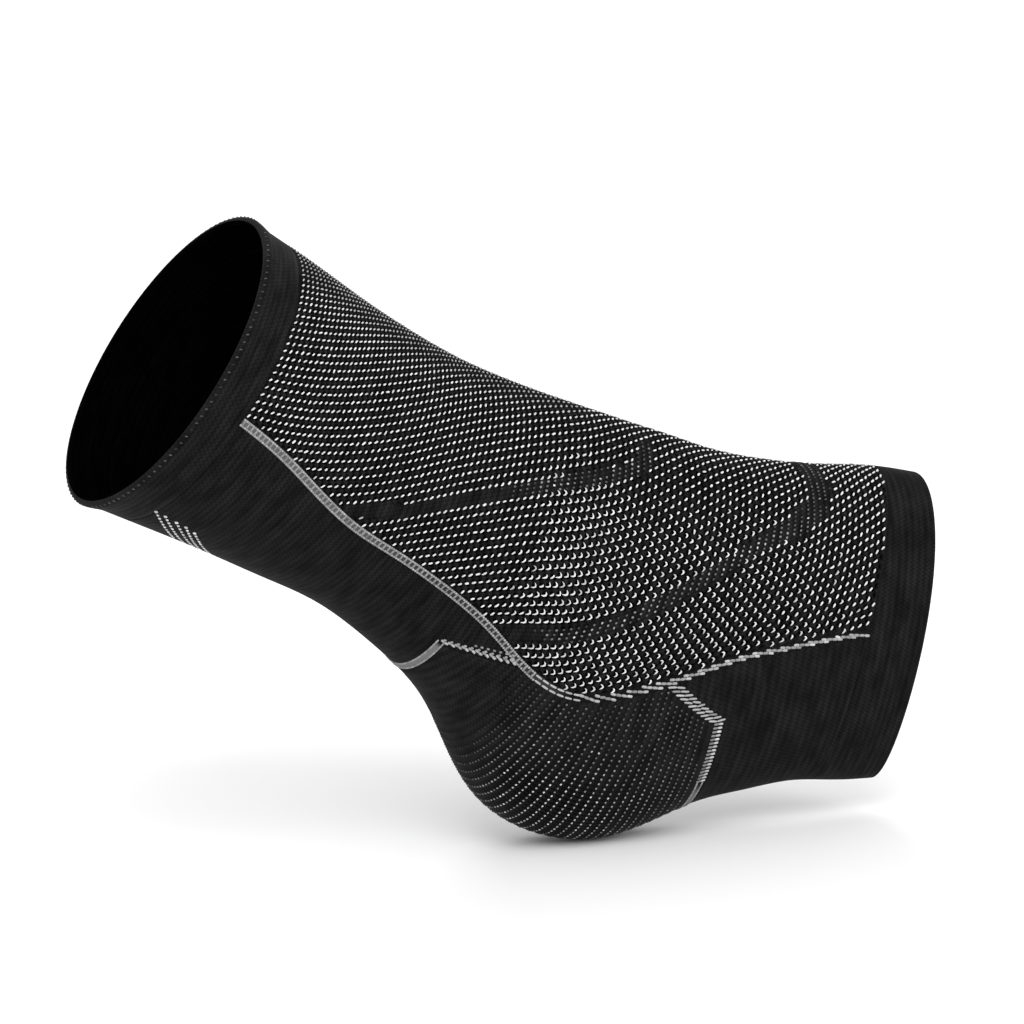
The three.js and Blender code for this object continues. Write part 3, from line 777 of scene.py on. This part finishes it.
def pace(cloth, line, pitch, first=0.0, last=1.0):
    """Places at even steps along a stretch of a line, and the line's heading and its side there: equal
    parts of the running length, and the difference of points a little before and after."""
    share = np.linspace(first, last, 1501)
    points = cloth.point(*line(share))
    run = np.concatenate([[0], np.cumsum(measured(np.diff(points, axis=0)))])
    count = max(round(run[-1] / pitch), 1)
    share = np.interp((np.arange(count) + 0.5) * run[-1] / count, run, share)
    row, turn = line(share)
    nudge = 0.0005
    ahead = cloth.point(*line(share + nudge)) - cloth.point(*line(share - nudge))
    along, over, _ = cloth.axes(row, turn)
    heading = unit(np.stack([(ahead * along).sum(-1), (ahead * over).sum(-1)], -1))
    return (row, turn), heading, sideways(heading)


def away(angle, length):
    """A step on the cloth of so many metres, at an angle from straight along towards the front line."""
    return np.stack([np.cos(angle) * length, -np.sin(angle) * length], -1)


def smooth(value, low, high):
    """Zero below low, one above high, and between them three times the share squared less twice its cube."""
    share = np.clip((np.asarray(value, float) - low) / (high - low), 0, 1)
    return share ** 2 * (3 - 2 * share)


def fill_in(line):
    """More points on a line of (row, turn): eight even steps between each two of its own."""
    place = np.linspace(0, len(line) - 1, (len(line) - 1) * 8 + 1)
    own = np.arange(len(line))
    return np.interp(place, own, line[:, 0]), np.interp(place, own, line[:, 1])


def nearest(points, others):
    """Distance of each point to the nearest of the others."""
    return np.sqrt(((points[:, None] - others[None]) ** 2).sum(-1).min(1))


class SLEEVE_OT_cuffs(bpy.types.Operator):
    """Makes the plain band with its welt at the leg rim, and the plain band at the foot rim"""

    bl_idname = "sleeve.cuffs"
    bl_label = "Cuffs"

    def execute(self, context):
        cloth, colours = Cloth(context.scene.sleeve_sizes), context.scene.sleeve_colours
        sizes, materials = cloth.sizes, black_and_shaded_inside(colours)
        rounding, band, around = 7, 14, 193
        swing = np.linspace(0.2, np.pi / 2, rounding)
        turns = np.linspace(0, 1, around)
        for name, node, rim, cuff_row, rise in (
                ("leg_cuff_knit", "leg_cuff", 0, np.full_like(turns, cloth.leg_cuff_row), sizes.welt_rise),
                ("foot_cuff_knit", "foot_cuff", LAST_ROW, cloth.foot_cuff_row(turns), 0.0)):
            radius = (sizes.wall + rise) / 2
            turned = cloth.rows_from(rim, radius) * (1 - np.cos(swing))
            rest = np.abs(cuff_row - rim) - turned[-1]
            from_rim = np.concatenate([
                np.broadcast_to(turned[:, None], (rounding, around)),
                turned[-1] + np.linspace(0, 1, band + 1)[1:, None] * rest])
            round_off = np.concatenate([np.sin(swing), np.ones(band)])[:, None]
            welt_rows = cloth.rows_from(rim, sizes.welt_length)
            height = rise * np.cos(np.pi / 2 * np.minimum(from_rim / welt_rows, 1)) ** 2
            middle = (height - sizes.wall) / 2
            outer = middle + (height + sizes.wall) / 2 * round_off
            inner = middle - (height + sizes.wall) / 2 * round_off
            rows = np.abs(rim - from_rim)
            order = slice(None, None, 1 if rim == 0 else -1)
            body = Body()
            grid = np.broadcast_to(turns, rows.shape)
            body.add_wall(cloth, rows[order], grid, True, cloth.rib_at, outer[order], inner[order])
            body.put(name, materials, node, "black_knit")
        return {"FINISHED"}


class SLEEVE_OT_rim_stitches(bpy.types.Operator):
    """Makes the small loops that stand out round the leg rim. Their light grey is partly a painted
    highlight along the welt's edge
    """

    bl_idname = "sleeve.rim_stitches"
    bl_label = "Rim stitches"

    def execute(self, context):
        cloth, stitch = Cloth(context.scene.sleeve_sizes), context.scene.stitch_sizes
        draw = np.random.default_rng(13)
        girth = cloth.girths[0]
        count = int(girth / stitch.rim_pitch)
        turn = (np.arange(count) + 0.5) / count
        row = np.full(count, cloth.rows_from(0, 0.8 * MM))
        points = strokes(cloth, (row, turn), away(np.full(count, 0.5), 1.0), 1.0 * MM, 0.5 * MM, 0.25 * MM)
        raised = cloth.directions(row, turn)[2][:, None] * cloth.sizes.welt_rise * 0.72
        body = Body()
        # The loops' tones are partly a painted highlight along the welt's edge.
        body.add_stitches(points + raised, draw.uniform(0.03, 0.12, count))
        grey = yarn_material("Grey polyester yarn", context.scene.sleeve_colours.grey)
        body.put("rim_stitches", [grey], None, "black_knit")
        return {"FINISHED"}


class SLEEVE_OT_instep(bpy.types.Operator):
    """Makes the black ground of the dotted panel over the instep and the sides"""

    bl_idname = "sleeve.instep"
    bl_label = "Instep panel"

    def execute(self, context):
        cloth = Cloth(context.scene.sleeve_sizes)
        top, join = cloth.leg_cuff_row, cloth.foot_join_row
        leg_turn, foot_turn = cloth.side.at(top), cloth.side.at(join)
        lines = (
            side_line(cloth, top, join, 0.0), side_line(cloth, top, join),
            cuff_edge(lambda turn: top + 0 * turn, -leg_turn, leg_turn),
            cuff_edge(cloth.foot_cuff_row, -foot_turn, foot_turn))
        beside = cloth.sizes.outline_width / 2 + SEAM
        rows, turns = patch(cloth, lines, 200, 150, (beside, beside, SEAM, SEAM))
        # Painted shade round the white stitches: the wall's tone is 1 where a white stitch may sit, and there
        # the ground is darkened round each stitch.
        shade_round_stitches = white_clear(
            cloth, context.scene.stitch_sizes, rows.ravel(), np.abs(turns).ravel(), -0.3 * MM)
        body = Body()
        body.add_wall(cloth, rows, turns, False, cloth.stitch_at, tones=shade_round_stitches.reshape(rows.shape))
        materials = black_and_shaded_inside(context.scene.sleeve_colours, 1)
        body.put("instep_knit", materials, "instep_panel", "dotted_knit")
        return {"FINISHED"}


class SLEEVE_OT_plain_panels(bpy.types.Operator):
    """Makes the plain panels: behind the ankle, round the heel and under the foot"""

    bl_idname = "sleeve.plain_panels"
    bl_label = "Plain panels"

    def execute(self, context):
        cloth = Cloth(context.scene.sleeve_sizes)
        colours = context.scene.sleeve_colours
        names = (
            ("achilles_knit", "achilles_panel"), ("heel_knit", "heel_pocket"), ("sole_knit", "sole_panel"))
        for (rows, turns), (name, node) in zip(plain_grids(cloth), names):
            heel = node == "heel_pocket"
            body = Body()
            # On the heel the tone also sets how strong the painted shade round its dots is.
            body.add_wall(cloth, rows, turns, False, cloth.heel_stitch_at if heel else cloth.rib_at,
                          tones=heel_fade(rows, turns) if heel else 0.0)
            body.put(name, black_and_shaded_inside(colours, 2 if heel else 0), node, "black_knit")
        return {"FINISHED"}


def in_dotted_panel(cloth, row, turn, clear):
    """Whether places lie in the dotted panel, so far clear of its cuffs and of the side line."""
    along, around, _ = cloth.directions(row, turn)
    along, around = measured(along), measured(around)
    side = (cloth.side.at(np.clip(row, 0, LAST_ROW)) - turn) * around
    return (
        ((row - cloth.leg_cuff_row) * along > clear)
        & ((cloth.foot_cuff_row(turn) - row) * along > clear)
        & (side > cloth.sizes.outline_width / 2 + clear)
    )


def channel_distance(cloth, row, turn, line, widths):
    """Distance of places from the middle of a dark channel, over the factor that widens it there."""
    return nearest(cloth.point(row, turn), cloth.point(*fill_in(line))) / np.interp(row, *widths)


def white_clear(cloth, stitch, row, turn, spare=0.0):
    """Whether places may hold a white stitch: in the dotted panel, and clear of the dark channels."""
    clear = in_dotted_panel(cloth, row, turn, PANEL_CLEAR - spare)
    for line, widths, _, _ in CHANNELS:
        distance = channel_distance(cloth, row, turn, line, widths)
        clear &= distance > stitch.channel_width / 2 + CHANNEL_CLEAR - spare
    return clear


def dotted_places(cloth, every):
    """Places of the stitches of one half of the dotted panel: where course and wale are both even or both
    odd, or every course and wale."""
    course, wale = np.meshgrid(np.arange(-3, 134), np.arange(0, 76), indexing="ij")
    course, wale = course.ravel(), wale.ravel()
    if not every:
        keep = (course + wale) % 2 == 0
        course, wale = course[keep], wale[keep]
    row = np.interp(course, FRONT_COURSES, KNIT_ROWS)
    row, turn = cloth.places_of(cloth.stitch_at, course, wale, row, wale / WALES)
    keep = (turn > -0.001) & (turn < 0.36) & (row > 0) & (row < LAST_ROW)
    return row[keep], turn[keep], wale[keep]


def heel_fade(row, turn):
    """How strongly the dots of the heel show, and the painted shade round them: most at its low, outer
    side, and less with the square of the distance from there."""
    turn = 0.5 - np.abs(turn - 0.5)
    down, over = (row - HEEL_BRIGHT[0]) / HEEL_FADE[0], (turn - HEEL_BRIGHT[1]) / HEEL_FADE[1]
    return (0.15 + 0.85 * np.exp(-down ** 2 - over ** 2)) * smooth(row, HEEL_DOTS_ROW, 8.0)


def put_both_sides(context, name, points, tones, slot, on_line=None):
    """One piece of white stitches on each side. Those on the front or the back line aren't made twice."""
    white = yarn_material("White polyester yarn", context.scene.sleeve_colours.white)
    for side, mirror in (("right", False), ("left", True)):
        keep = np.ones(len(points), bool) if on_line is None or not mirror else ~on_line
        body = Body()
        body.add_stitches(points[keep], tones[keep])
        body.put(f"{name}_{side}", [white], None, slot, mirror)


class SLEEVE_OT_white_stitches(bpy.types.Operator):
    """Makes the white stitches of the dotted panel"""

    bl_idname = "sleeve.white_stitches"
    bl_label = "White stitches"

    def execute(self, context):
        cloth, stitch = Cloth(context.scene.sleeve_sizes), context.scene.stitch_sizes
        draw = np.random.default_rng(11)
        row, turn, wale = dotted_places(cloth, False)
        keep = white_clear(cloth, stitch, row, turn)
        row, turn, wale = row[keep], turn[keep], wale[keep]
        count = len(row)
        lean = np.radians(np.interp(row, *LEANS) + draw.normal(0, 9, count))
        hook = smooth(row, 5.0, 7.0) * (1 - 0.6 * smooth(row, 11.0, 14.0)) * smooth(turn, 0.04, 0.15)
        hook = np.clip(hook + draw.normal(0, 0.2, count), 0, 1.1)[:, None]
        long = (np.interp(row, *LENGTHS) * MM * draw.normal(1, 0.08, count))[:, None]
        arm = (np.interp(row, *ARMS) * MM)[:, None]
        body, up = away(lean, 1.0), away(lean + np.radians(98), 1.0)
        start, corner = -0.5 * long * body, 0.5 * long * body
        end = corner + hook * arm * up
        bend = (start + end) / 2 + 2 * hook * (corner - (start + end) / 2)
        centre = (start + bend + end) / 6 + (start + 2 * bend + end) / 8
        width = stitch.stitch_width * draw.normal(1, 0.07, count) * (0.84 + 0.16 * smooth(row, 3, 6))
        points = raised_stitches(cloth, row, turn, start - centre, bend - centre, end - centre, width,
                                 stitch.stitch_rise, hook[:, 0])
        shin = smooth(turn - np.interp(row, *SHIN), 0, 0.04)
        tones = np.clip(1 - np.abs(draw.normal(0, 0.16, count)), 0.5, 1) * (0.5 + 0.5 * shin)
        put_both_sides(context, "white_stitches", points, tones, "dotted_knit", wale == 0)
        return {"FINISHED"}


class SLEEVE_OT_channel_stitches(bpy.types.Operator):
    """Makes the dim, uneven dots in the dark channels of the dotted panel"""

    bl_idname = "sleeve.channel_stitches"
    bl_label = "Channel stitches"

    def execute(self, context):
        cloth, stitch = Cloth(context.scene.sleeve_sizes), context.scene.stitch_sizes
        draw = np.random.default_rng(14)
        places = dotted_places(cloth, True)
        groups, levels, on_line = [], [], []
        for line, widths, plain, faint in CHANNELS:
            row, turn, wale = places
            away_from = channel_distance(cloth, row, turn, line, widths)
            keep = away_from < stitch.channel_width / 2 + CHANNEL_CLEAR
            keep &= in_dotted_panel(cloth, row, turn, PANEL_CLEAR)
            row, turn, away_from = row[keep], turn[keep], away_from[keep]
            count = len(row)
            groups.append(strokes(
                cloth, (row, turn), away(draw.uniform(0.4, 1.4, count), 1.0), 0.85 * MM,
                draw.normal(0.65, 0.07, count) * MM, DOT_RISE))
            tone = draw.gamma(2.5, 0.11, count) * (1.5 - 0.9 * away_from / stitch.channel_width * 2)
            tone *= 1 - smooth(turn, plain - 0.05, plain)
            levels.append(tone * (0.35 + 0.65 * smooth(turn, faint - 0.03, faint)))
            on_line.append(wale[keep] == 0)
        tones = np.clip(np.concatenate(levels), 0, 0.95)
        seen = tones > 0.04
        points, on_line = np.concatenate(groups)[seen], np.concatenate(on_line)[seen]
        put_both_sides(context, "channel_stitches", points, tones[seen], "dotted_knit", on_line)
        return {"FINISHED"}


class SLEEVE_OT_heel_stitches(bpy.types.Operator):
    """Makes the rows of dim dots round the heel pocket"""

    bl_idname = "sleeve.heel_stitches"
    bl_label = "Heel stitches"

    def execute(self, context):
        cloth = Cloth(context.scene.sleeve_sizes)
        draw = np.random.default_rng(12)
        course, wale = np.meshgrid(np.arange(-2, 42), np.arange(0, 40), indexing="ij")
        course, wale = course.ravel(), wale.ravel()
        row, turn = cloth.places_of(
            cloth.heel_stitch_at, course, wale, 6 + course / HEEL_COURSES, 0.5 - wale / HEEL_WALES)
        side = cloth.side.at(np.clip(row, 0, LAST_ROW))
        upper, lower = (
            np.interp(turn, (cloth.side.at(line["join"]), line["corner"]), (line["join"], line["level"]))
            for line in (HEEL_TOP, HEEL_FRONT))
        keep = (turn > side + 0.009) & (turn < 0.5001)
        keep &= (row > np.maximum(upper + 0.3, HEEL_DOTS_ROW)) & (row < lower - 0.2)
        row, turn, wale = row[keep], turn[keep], wale[keep]
        count = len(row)
        tones = 0.66 * heel_fade(row, turn) * draw.gamma(6, 1 / 6, count)
        points = strokes(cloth, (row, turn), away(np.full(count, 1.4), 1.0), 0.72 * MM,
                         draw.normal(0.66, 0.05, count) * MM, DOT_RISE)
        put_both_sides(context, "heel_stitches", points, np.clip(tones, 0.01, 0.9), "black_knit", wale == 0)
        return {"FINISHED"}


class SLEEVE_OT_back_stitches(bpy.types.Operator):
    """Makes the small dotted patch behind the leg opening"""

    bl_idname = "sleeve.back_stitches"
    bl_label = "Back stitches"

    def execute(self, context):
        cloth = Cloth(context.scene.sleeve_sizes)
        draw = np.random.default_rng(15)
        groups, tones = [], []
        for top_row, top_turn, low_row, low_turn in BACK_COLUMNS:
            def column(share):
                return top_row + (low_row - top_row) * share, top_turn + (low_turn - top_turn) * share
            place, heading, _ = pace(cloth, column, 2.1 * MM)
            count = len(place[0])
            first = np.arange(count) == 0
            length, width = np.where(first, 1.4, 1.2) * MM, np.where(first, 1.2, 0.95) * MM
            groups.append(strokes(cloth, place, heading, length, width, DOT_RISE))
            tones.append(np.clip(draw.normal(0.8, 0.12, count), 0.4, 1))
        put_both_sides(
            context, "back_stitches", np.concatenate(groups), np.concatenate(tones), "black_knit")
        return {"FINISHED"}


class GreyLine:
    """A grey knitted line: its strip of wall, and the stitches on it."""

    def __init__(self, cloth, line, draw):
        self.cloth, self.line, self.draw = cloth, line, draw
        self.body = Body()

    def tones(self, count, tone):
        """Tones that vary a little about one."""
        return np.clip(self.draw.normal(tone, tone * 0.15, count), 0.02, 1)

    def rungs(self, first, last, pitch, tone):
        """Short bars straight across the line."""
        place, _, aside = pace(self.cloth, self.line, pitch, first, last)
        width = self.cloth.sizes.outline_width
        points = strokes(self.cloth, place, aside, width * 0.8, 0.75 * MM, LINE_RISE, bow=0.2 * MM)
        self.body.add_stitches(points, self.tones(len(points), tone))

    def row(self, first, last, aside_by, pitch, width, tone, share=1.0):
        """A row of stitches end to end along the line, so far aside of its middle."""
        place, heading, aside = pace(self.cloth, self.line, pitch, first, last)
        place = moved(self.cloth, place, aside * aside_by)
        points = strokes(self.cloth, place, heading, pitch * share, width, LINE_RISE)
        self.body.add_stitches(points, self.tones(len(points), tone))

    def rails(self, first, last, apart, pitch, width, tone, share=1.0):
        """Two rows of stitches end to end along the line."""
        for side in (-apart / 2, apart / 2):
            self.row(first, last, side, pitch, width, tone, share)

    def dashes(self, first, last, pitch, length, width, tones, lean):
        """Dashes at a lean from straight along the sleeve, one at each step of the line: a row of lumps,
        with a tone for each."""
        start, _, _ = pace(self.cloth, self.line, pitch, first, last)
        lean = np.full(len(start[0]), lean)
        lump = length / len(tones)
        for k, tone in enumerate(tones):
            place = moved(self.cloth, start, away(lean, (k - (len(tones) - 1) / 2) * lump))
            tilted = away(lean + self.draw.normal(0, 0.08, len(lean)), 1.0)
            points = strokes(self.cloth, place, tilted, lump * 1.1, width, LINE_RISE)
            self.body.add_stitches(points, self.tones(len(points), tone))


def put_side_lines(cloth, stitch, materials):
    """The line down each side: a strip of wall between the cuffs, with bars and rails on the leg, rails on
    the ankle and dashes on the foot."""
    top, join = cloth.leg_cuff_row, cloth.foot_join_row
    seam = cloth.rows_from(0, SEAM)
    aside = np.linspace(-0.5, 0.5, 7) * cloth.sizes.outline_width
    down = np.linspace(0, 1, 221)[:, None]
    rows = top + (join - top) * down
    ends = cloth.foot_cuff_row(cloth.side.at(rows) + aside / cloth.side_slope(rows))
    rows = (top + seam) + (ends - top - 2 * seam) * down
    turns = cloth.side.at(rows) + aside / cloth.side_slope(rows)
    tones = 0.04 * (1 - smooth(rows, 7.6, 8.2)) + 0.1 * (1 - smooth(rows, 2.5, 5.0))
    leg, ankle, foot, bend, end = (
        row / LAST_ROW for row in (top, RAILS_ROW, DASHES_ROW, BEND_ROW, join - 0.05))
    for side, mirror in (("right", False), ("left", True)):
        line = GreyLine(cloth, side_line(cloth, 0, LAST_ROW), np.random.default_rng(16))
        line.body.add_wall(cloth, rows, turns, False, cloth.rib_at, tones=tones)
        line.rungs(leg, ankle, stitch.rung_pitch, 0.32)
        line.rails(leg, ankle, 1.9 * MM, stitch.rung_pitch / 2, 0.75 * MM, 0.45)
        line.rails(ankle, foot, 1.5 * MM, 2.6 * MM, 0.75 * MM, 0.55)
        for first, last, lean in ((foot, bend, 0.07), (bend, end, -0.06)):
            line.dashes(
                first, last, stitch.dash_step, stitch.dash_length, 1.0 * MM, (0.55, 0.38, 0.42, 0.6), lean)
        line.body.put(f"side_line_{side}", materials, f"side_outline_{side}", "grey_knit", mirror)


def put_heel_lines(cloth, materials):
    """The line over the heel and the one in front of it, each a strip of wall between two plain panels. The
    far side's leans and offsets are the near side's, turned over."""
    above, heel, below = plain_grids(cloth)
    corner, inner = CORNER_SHARE, 0.01
    for name, node, upper, lower, table in (
            ("heel_top_line", "heel_top_outline", above, heel, HEEL_TOP),
            ("heel_front_line", "heel_front_outline", heel, below, HEEL_FRONT)):
        line = GreyLine(cloth, lambda share: cloth.crossing(table, share), np.random.default_rng(17))
        down = np.linspace(0.04, 0.96, 7)[:, None]
        rows, turns = ((1 - down) * upper[k][-1] + down * lower[k][0] for k in (0, 1))
        share = np.linspace(0, 1, rows.shape[1])
        tones = 0.24 * smooth(np.minimum(share, 1 - share), *table["bare"])
        line.body.add_wall(cloth, rows, turns, False, cloth.rib_at, tones=tones)
        bare = table["bare"][0]
        for first, last, up in ((inner, corner, 1), (1 - corner, 1 - inner, -1)):
            if table is HEEL_TOP:
                line.dashes(first, last, 2.0 * MM, 2.7 * MM, 1.0 * MM, (0.42, 0.6), 0.12 * up)
                line.row(first, last, 0.75 * MM * up, 2.0 * MM, 0.8 * MM, 0.45, 0.5)
                outer = (first, last - 0.05) if up == 1 else (first + 0.05, last)
                line.row(*outer, 1.7 * MM * up, 2.0 * MM, 0.8 * MM, 0.35, 0.5)
            else:
                line.dashes(first, last, 2.0 * MM, 6.0 * MM, 0.8 * MM, (0.52, 0.52), -0.16 * up)
        if table is HEEL_FRONT:
            for first, last, up in ((corner, bare, 1), (1 - bare, 1 - corner, -1)):
                line.dashes(first, last, 1.27 * MM, 3.3 * MM, 0.9 * MM, (0.3, 0.65), -0.18 * up)
        line.rails(bare, 1 - bare, 2.0 * MM, 1.6 * MM, 0.65 * MM, 0.42, 1.2)
        line.body.put(name, materials, node, "grey_knit")


class SLEEVE_OT_grey_lines(bpy.types.Operator):
    """Makes the grey lines: one down each side, one over the heel and one in front of it"""

    bl_idname = "sleeve.grey_lines"
    bl_label = "Grey lines"

    def execute(self, context):
        cloth, colours = Cloth(context.scene.sleeve_sizes), context.scene.sleeve_colours
        materials = [yarn_material("Grey polyester yarn", colours.grey), black_and_shaded_inside(colours)[1]]
        put_side_lines(cloth, context.scene.stitch_sizes, materials)
        put_heel_lines(cloth, materials)
        return {"FINISHED"}


def facing(thing, place, back):
    """Puts a camera or a light at a place, to look against the direction back with its sides level."""
    right = unit(np.cross((0, 0, 1), back))
    turned = Matrix(np.stack([right, np.cross(back, right), back], 1).tolist()).to_4x4()
    turned.translation = place
    thing.matrix_world = turned


def pixel_camera(context):
    """The photograph's view: 22 degrees to the left of the side and 12 degrees up, from 2.2 metres. It
    looks at the middle of the sleeve, moved aside and up in the picture."""
    azimuth, elevation, distance = np.radians(-22), np.radians(12), 2.2
    middle, aside, raised = np.array([-0.00866, 0, 0.06466]), -0.014118, 0.031765
    right = np.array([np.cos(azimuth), np.sin(azimuth), 0])
    back = np.array([
        np.sin(azimuth) * np.cos(elevation), -np.cos(azimuth) * np.cos(elevation), np.sin(elevation)])
    data = bpy.data.cameras.new("photo_camera")
    data.sensor_width = 36
    data.lens = 262.97
    data.clip_end = 50
    camera = bpy.data.objects.new("photo_camera", data)
    place = middle + back * distance + right * aside + np.cross(back, right) * raised
    facing(camera, place.tolist(), back)
    context.scene.collection.objects.link(camera)
    context.scene.camera = camera


class SLEEVE_OT_stage(bpy.types.Operator):
    """Makes the plain pale floor, the soft studio light and the camera"""

    bl_idname = "sleeve.stage"
    bl_label = "Stage"

    def execute(self, context):
        lowest = CAD_BOX[0][2]
        side = 8.0
        corners = [(-side, -side, lowest), (side, -side, lowest), (side, side, lowest), (-side, side, lowest)]
        mesh = bpy.data.meshes.new("floor")
        mesh.from_pydata(corners, [], [(0, 1, 2, 3)])
        material, tree, shader = new_material("Matt white painted floor")
        fill(tree, shader, {"Base Color": context.scene.sleeve_colours.floor, "Roughness": 0.9})
        mesh.materials.append(material)
        floor = bpy.data.objects.new("floor", mesh)
        context.scene.collection.objects.link(floor)
        world = bpy.data.worlds.new("white_studio")
        world.use_nodes = True
        fill(world.node_tree, world.node_tree.nodes["Background"], {"Color": (1, 1, 1, 1), "Strength": 0.8})
        context.scene.world = world
        for name, place, size, power in (
                ("key_light", (-0.6, -1.6, 1.8), 1.6, 30), ("fill_light", (1.6, -1.0, 1.0), 1.6, 12),
                ("rim_light", (0.2, 1.6, 1.6), 1.2, 14)):
            data = bpy.data.lights.new(name, "AREA")
            data.shape = "DISK"
            data.size = size
            data.energy = power
            light = bpy.data.objects.new(name, data)
            facing(light, place, unit(np.array(place)))
            context.scene.collection.objects.link(light)
        context.scene.view_settings.view_transform = "Standard"
        pixel_camera(context)
        return {"FINISHED"}


class SLEEVE_PT_panel(bpy.types.Panel):
    """Lists the pieces of the sleeve and the stage"""

    bl_idname = "SLEEVE_PT_panel"
    bl_label = "Knitted ankle sleeve"
    bl_space_type = "VIEW_3D"
    bl_region_type = "UI"
    bl_category = "Sleeve"

    def draw(self, context):
        for operator in OPERATORS:
            self.layout.operator(operator.bl_idname)


OPERATORS = (
    SLEEVE_OT_stage, SLEEVE_OT_cuffs, SLEEVE_OT_rim_stitches, SLEEVE_OT_instep, SLEEVE_OT_plain_panels,
    SLEEVE_OT_grey_lines, SLEEVE_OT_white_stitches, SLEEVE_OT_channel_stitches, SLEEVE_OT_heel_stitches,
    SLEEVE_OT_back_stitches)
GROUPS = {"sleeve_sizes": SleeveSizes, "stitch_sizes": StitchSizes, "sleeve_colours": KnitColours}


def register():
    """Registers the sizes, the colours, the operators and the panel."""
    for name, group in GROUPS.items():
        bpy.utils.register_class(group)
        setattr(bpy.types.Scene, name, bpy.props.PointerProperty(type=group))
    for operator in OPERATORS:
        bpy.utils.register_class(operator)
    bpy.utils.register_class(SLEEVE_PT_panel)


def unregister():
    """Takes back what register added."""
    bpy.utils.unregister_class(SLEEVE_PT_panel)
    for operator in reversed(OPERATORS):
        bpy.utils.unregister_class(operator)
    for name, group in GROUPS.items():
        delattr(bpy.types.Scene, name)
        bpy.utils.unregister_class(group)


def main():
    """Registers the add-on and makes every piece."""
    register()
    for make in (
            bpy.ops.sleeve.stage, bpy.ops.sleeve.cuffs, bpy.ops.sleeve.rim_stitches, bpy.ops.sleeve.instep,
            bpy.ops.sleeve.plain_panels, bpy.ops.sleeve.grey_lines, bpy.ops.sleeve.white_stitches,
            bpy.ops.sleeve.channel_stitches, bpy.ops.sleeve.heel_stitches, bpy.ops.sleeve.back_stitches):
        make()


if __name__ == "__main__":
    main()
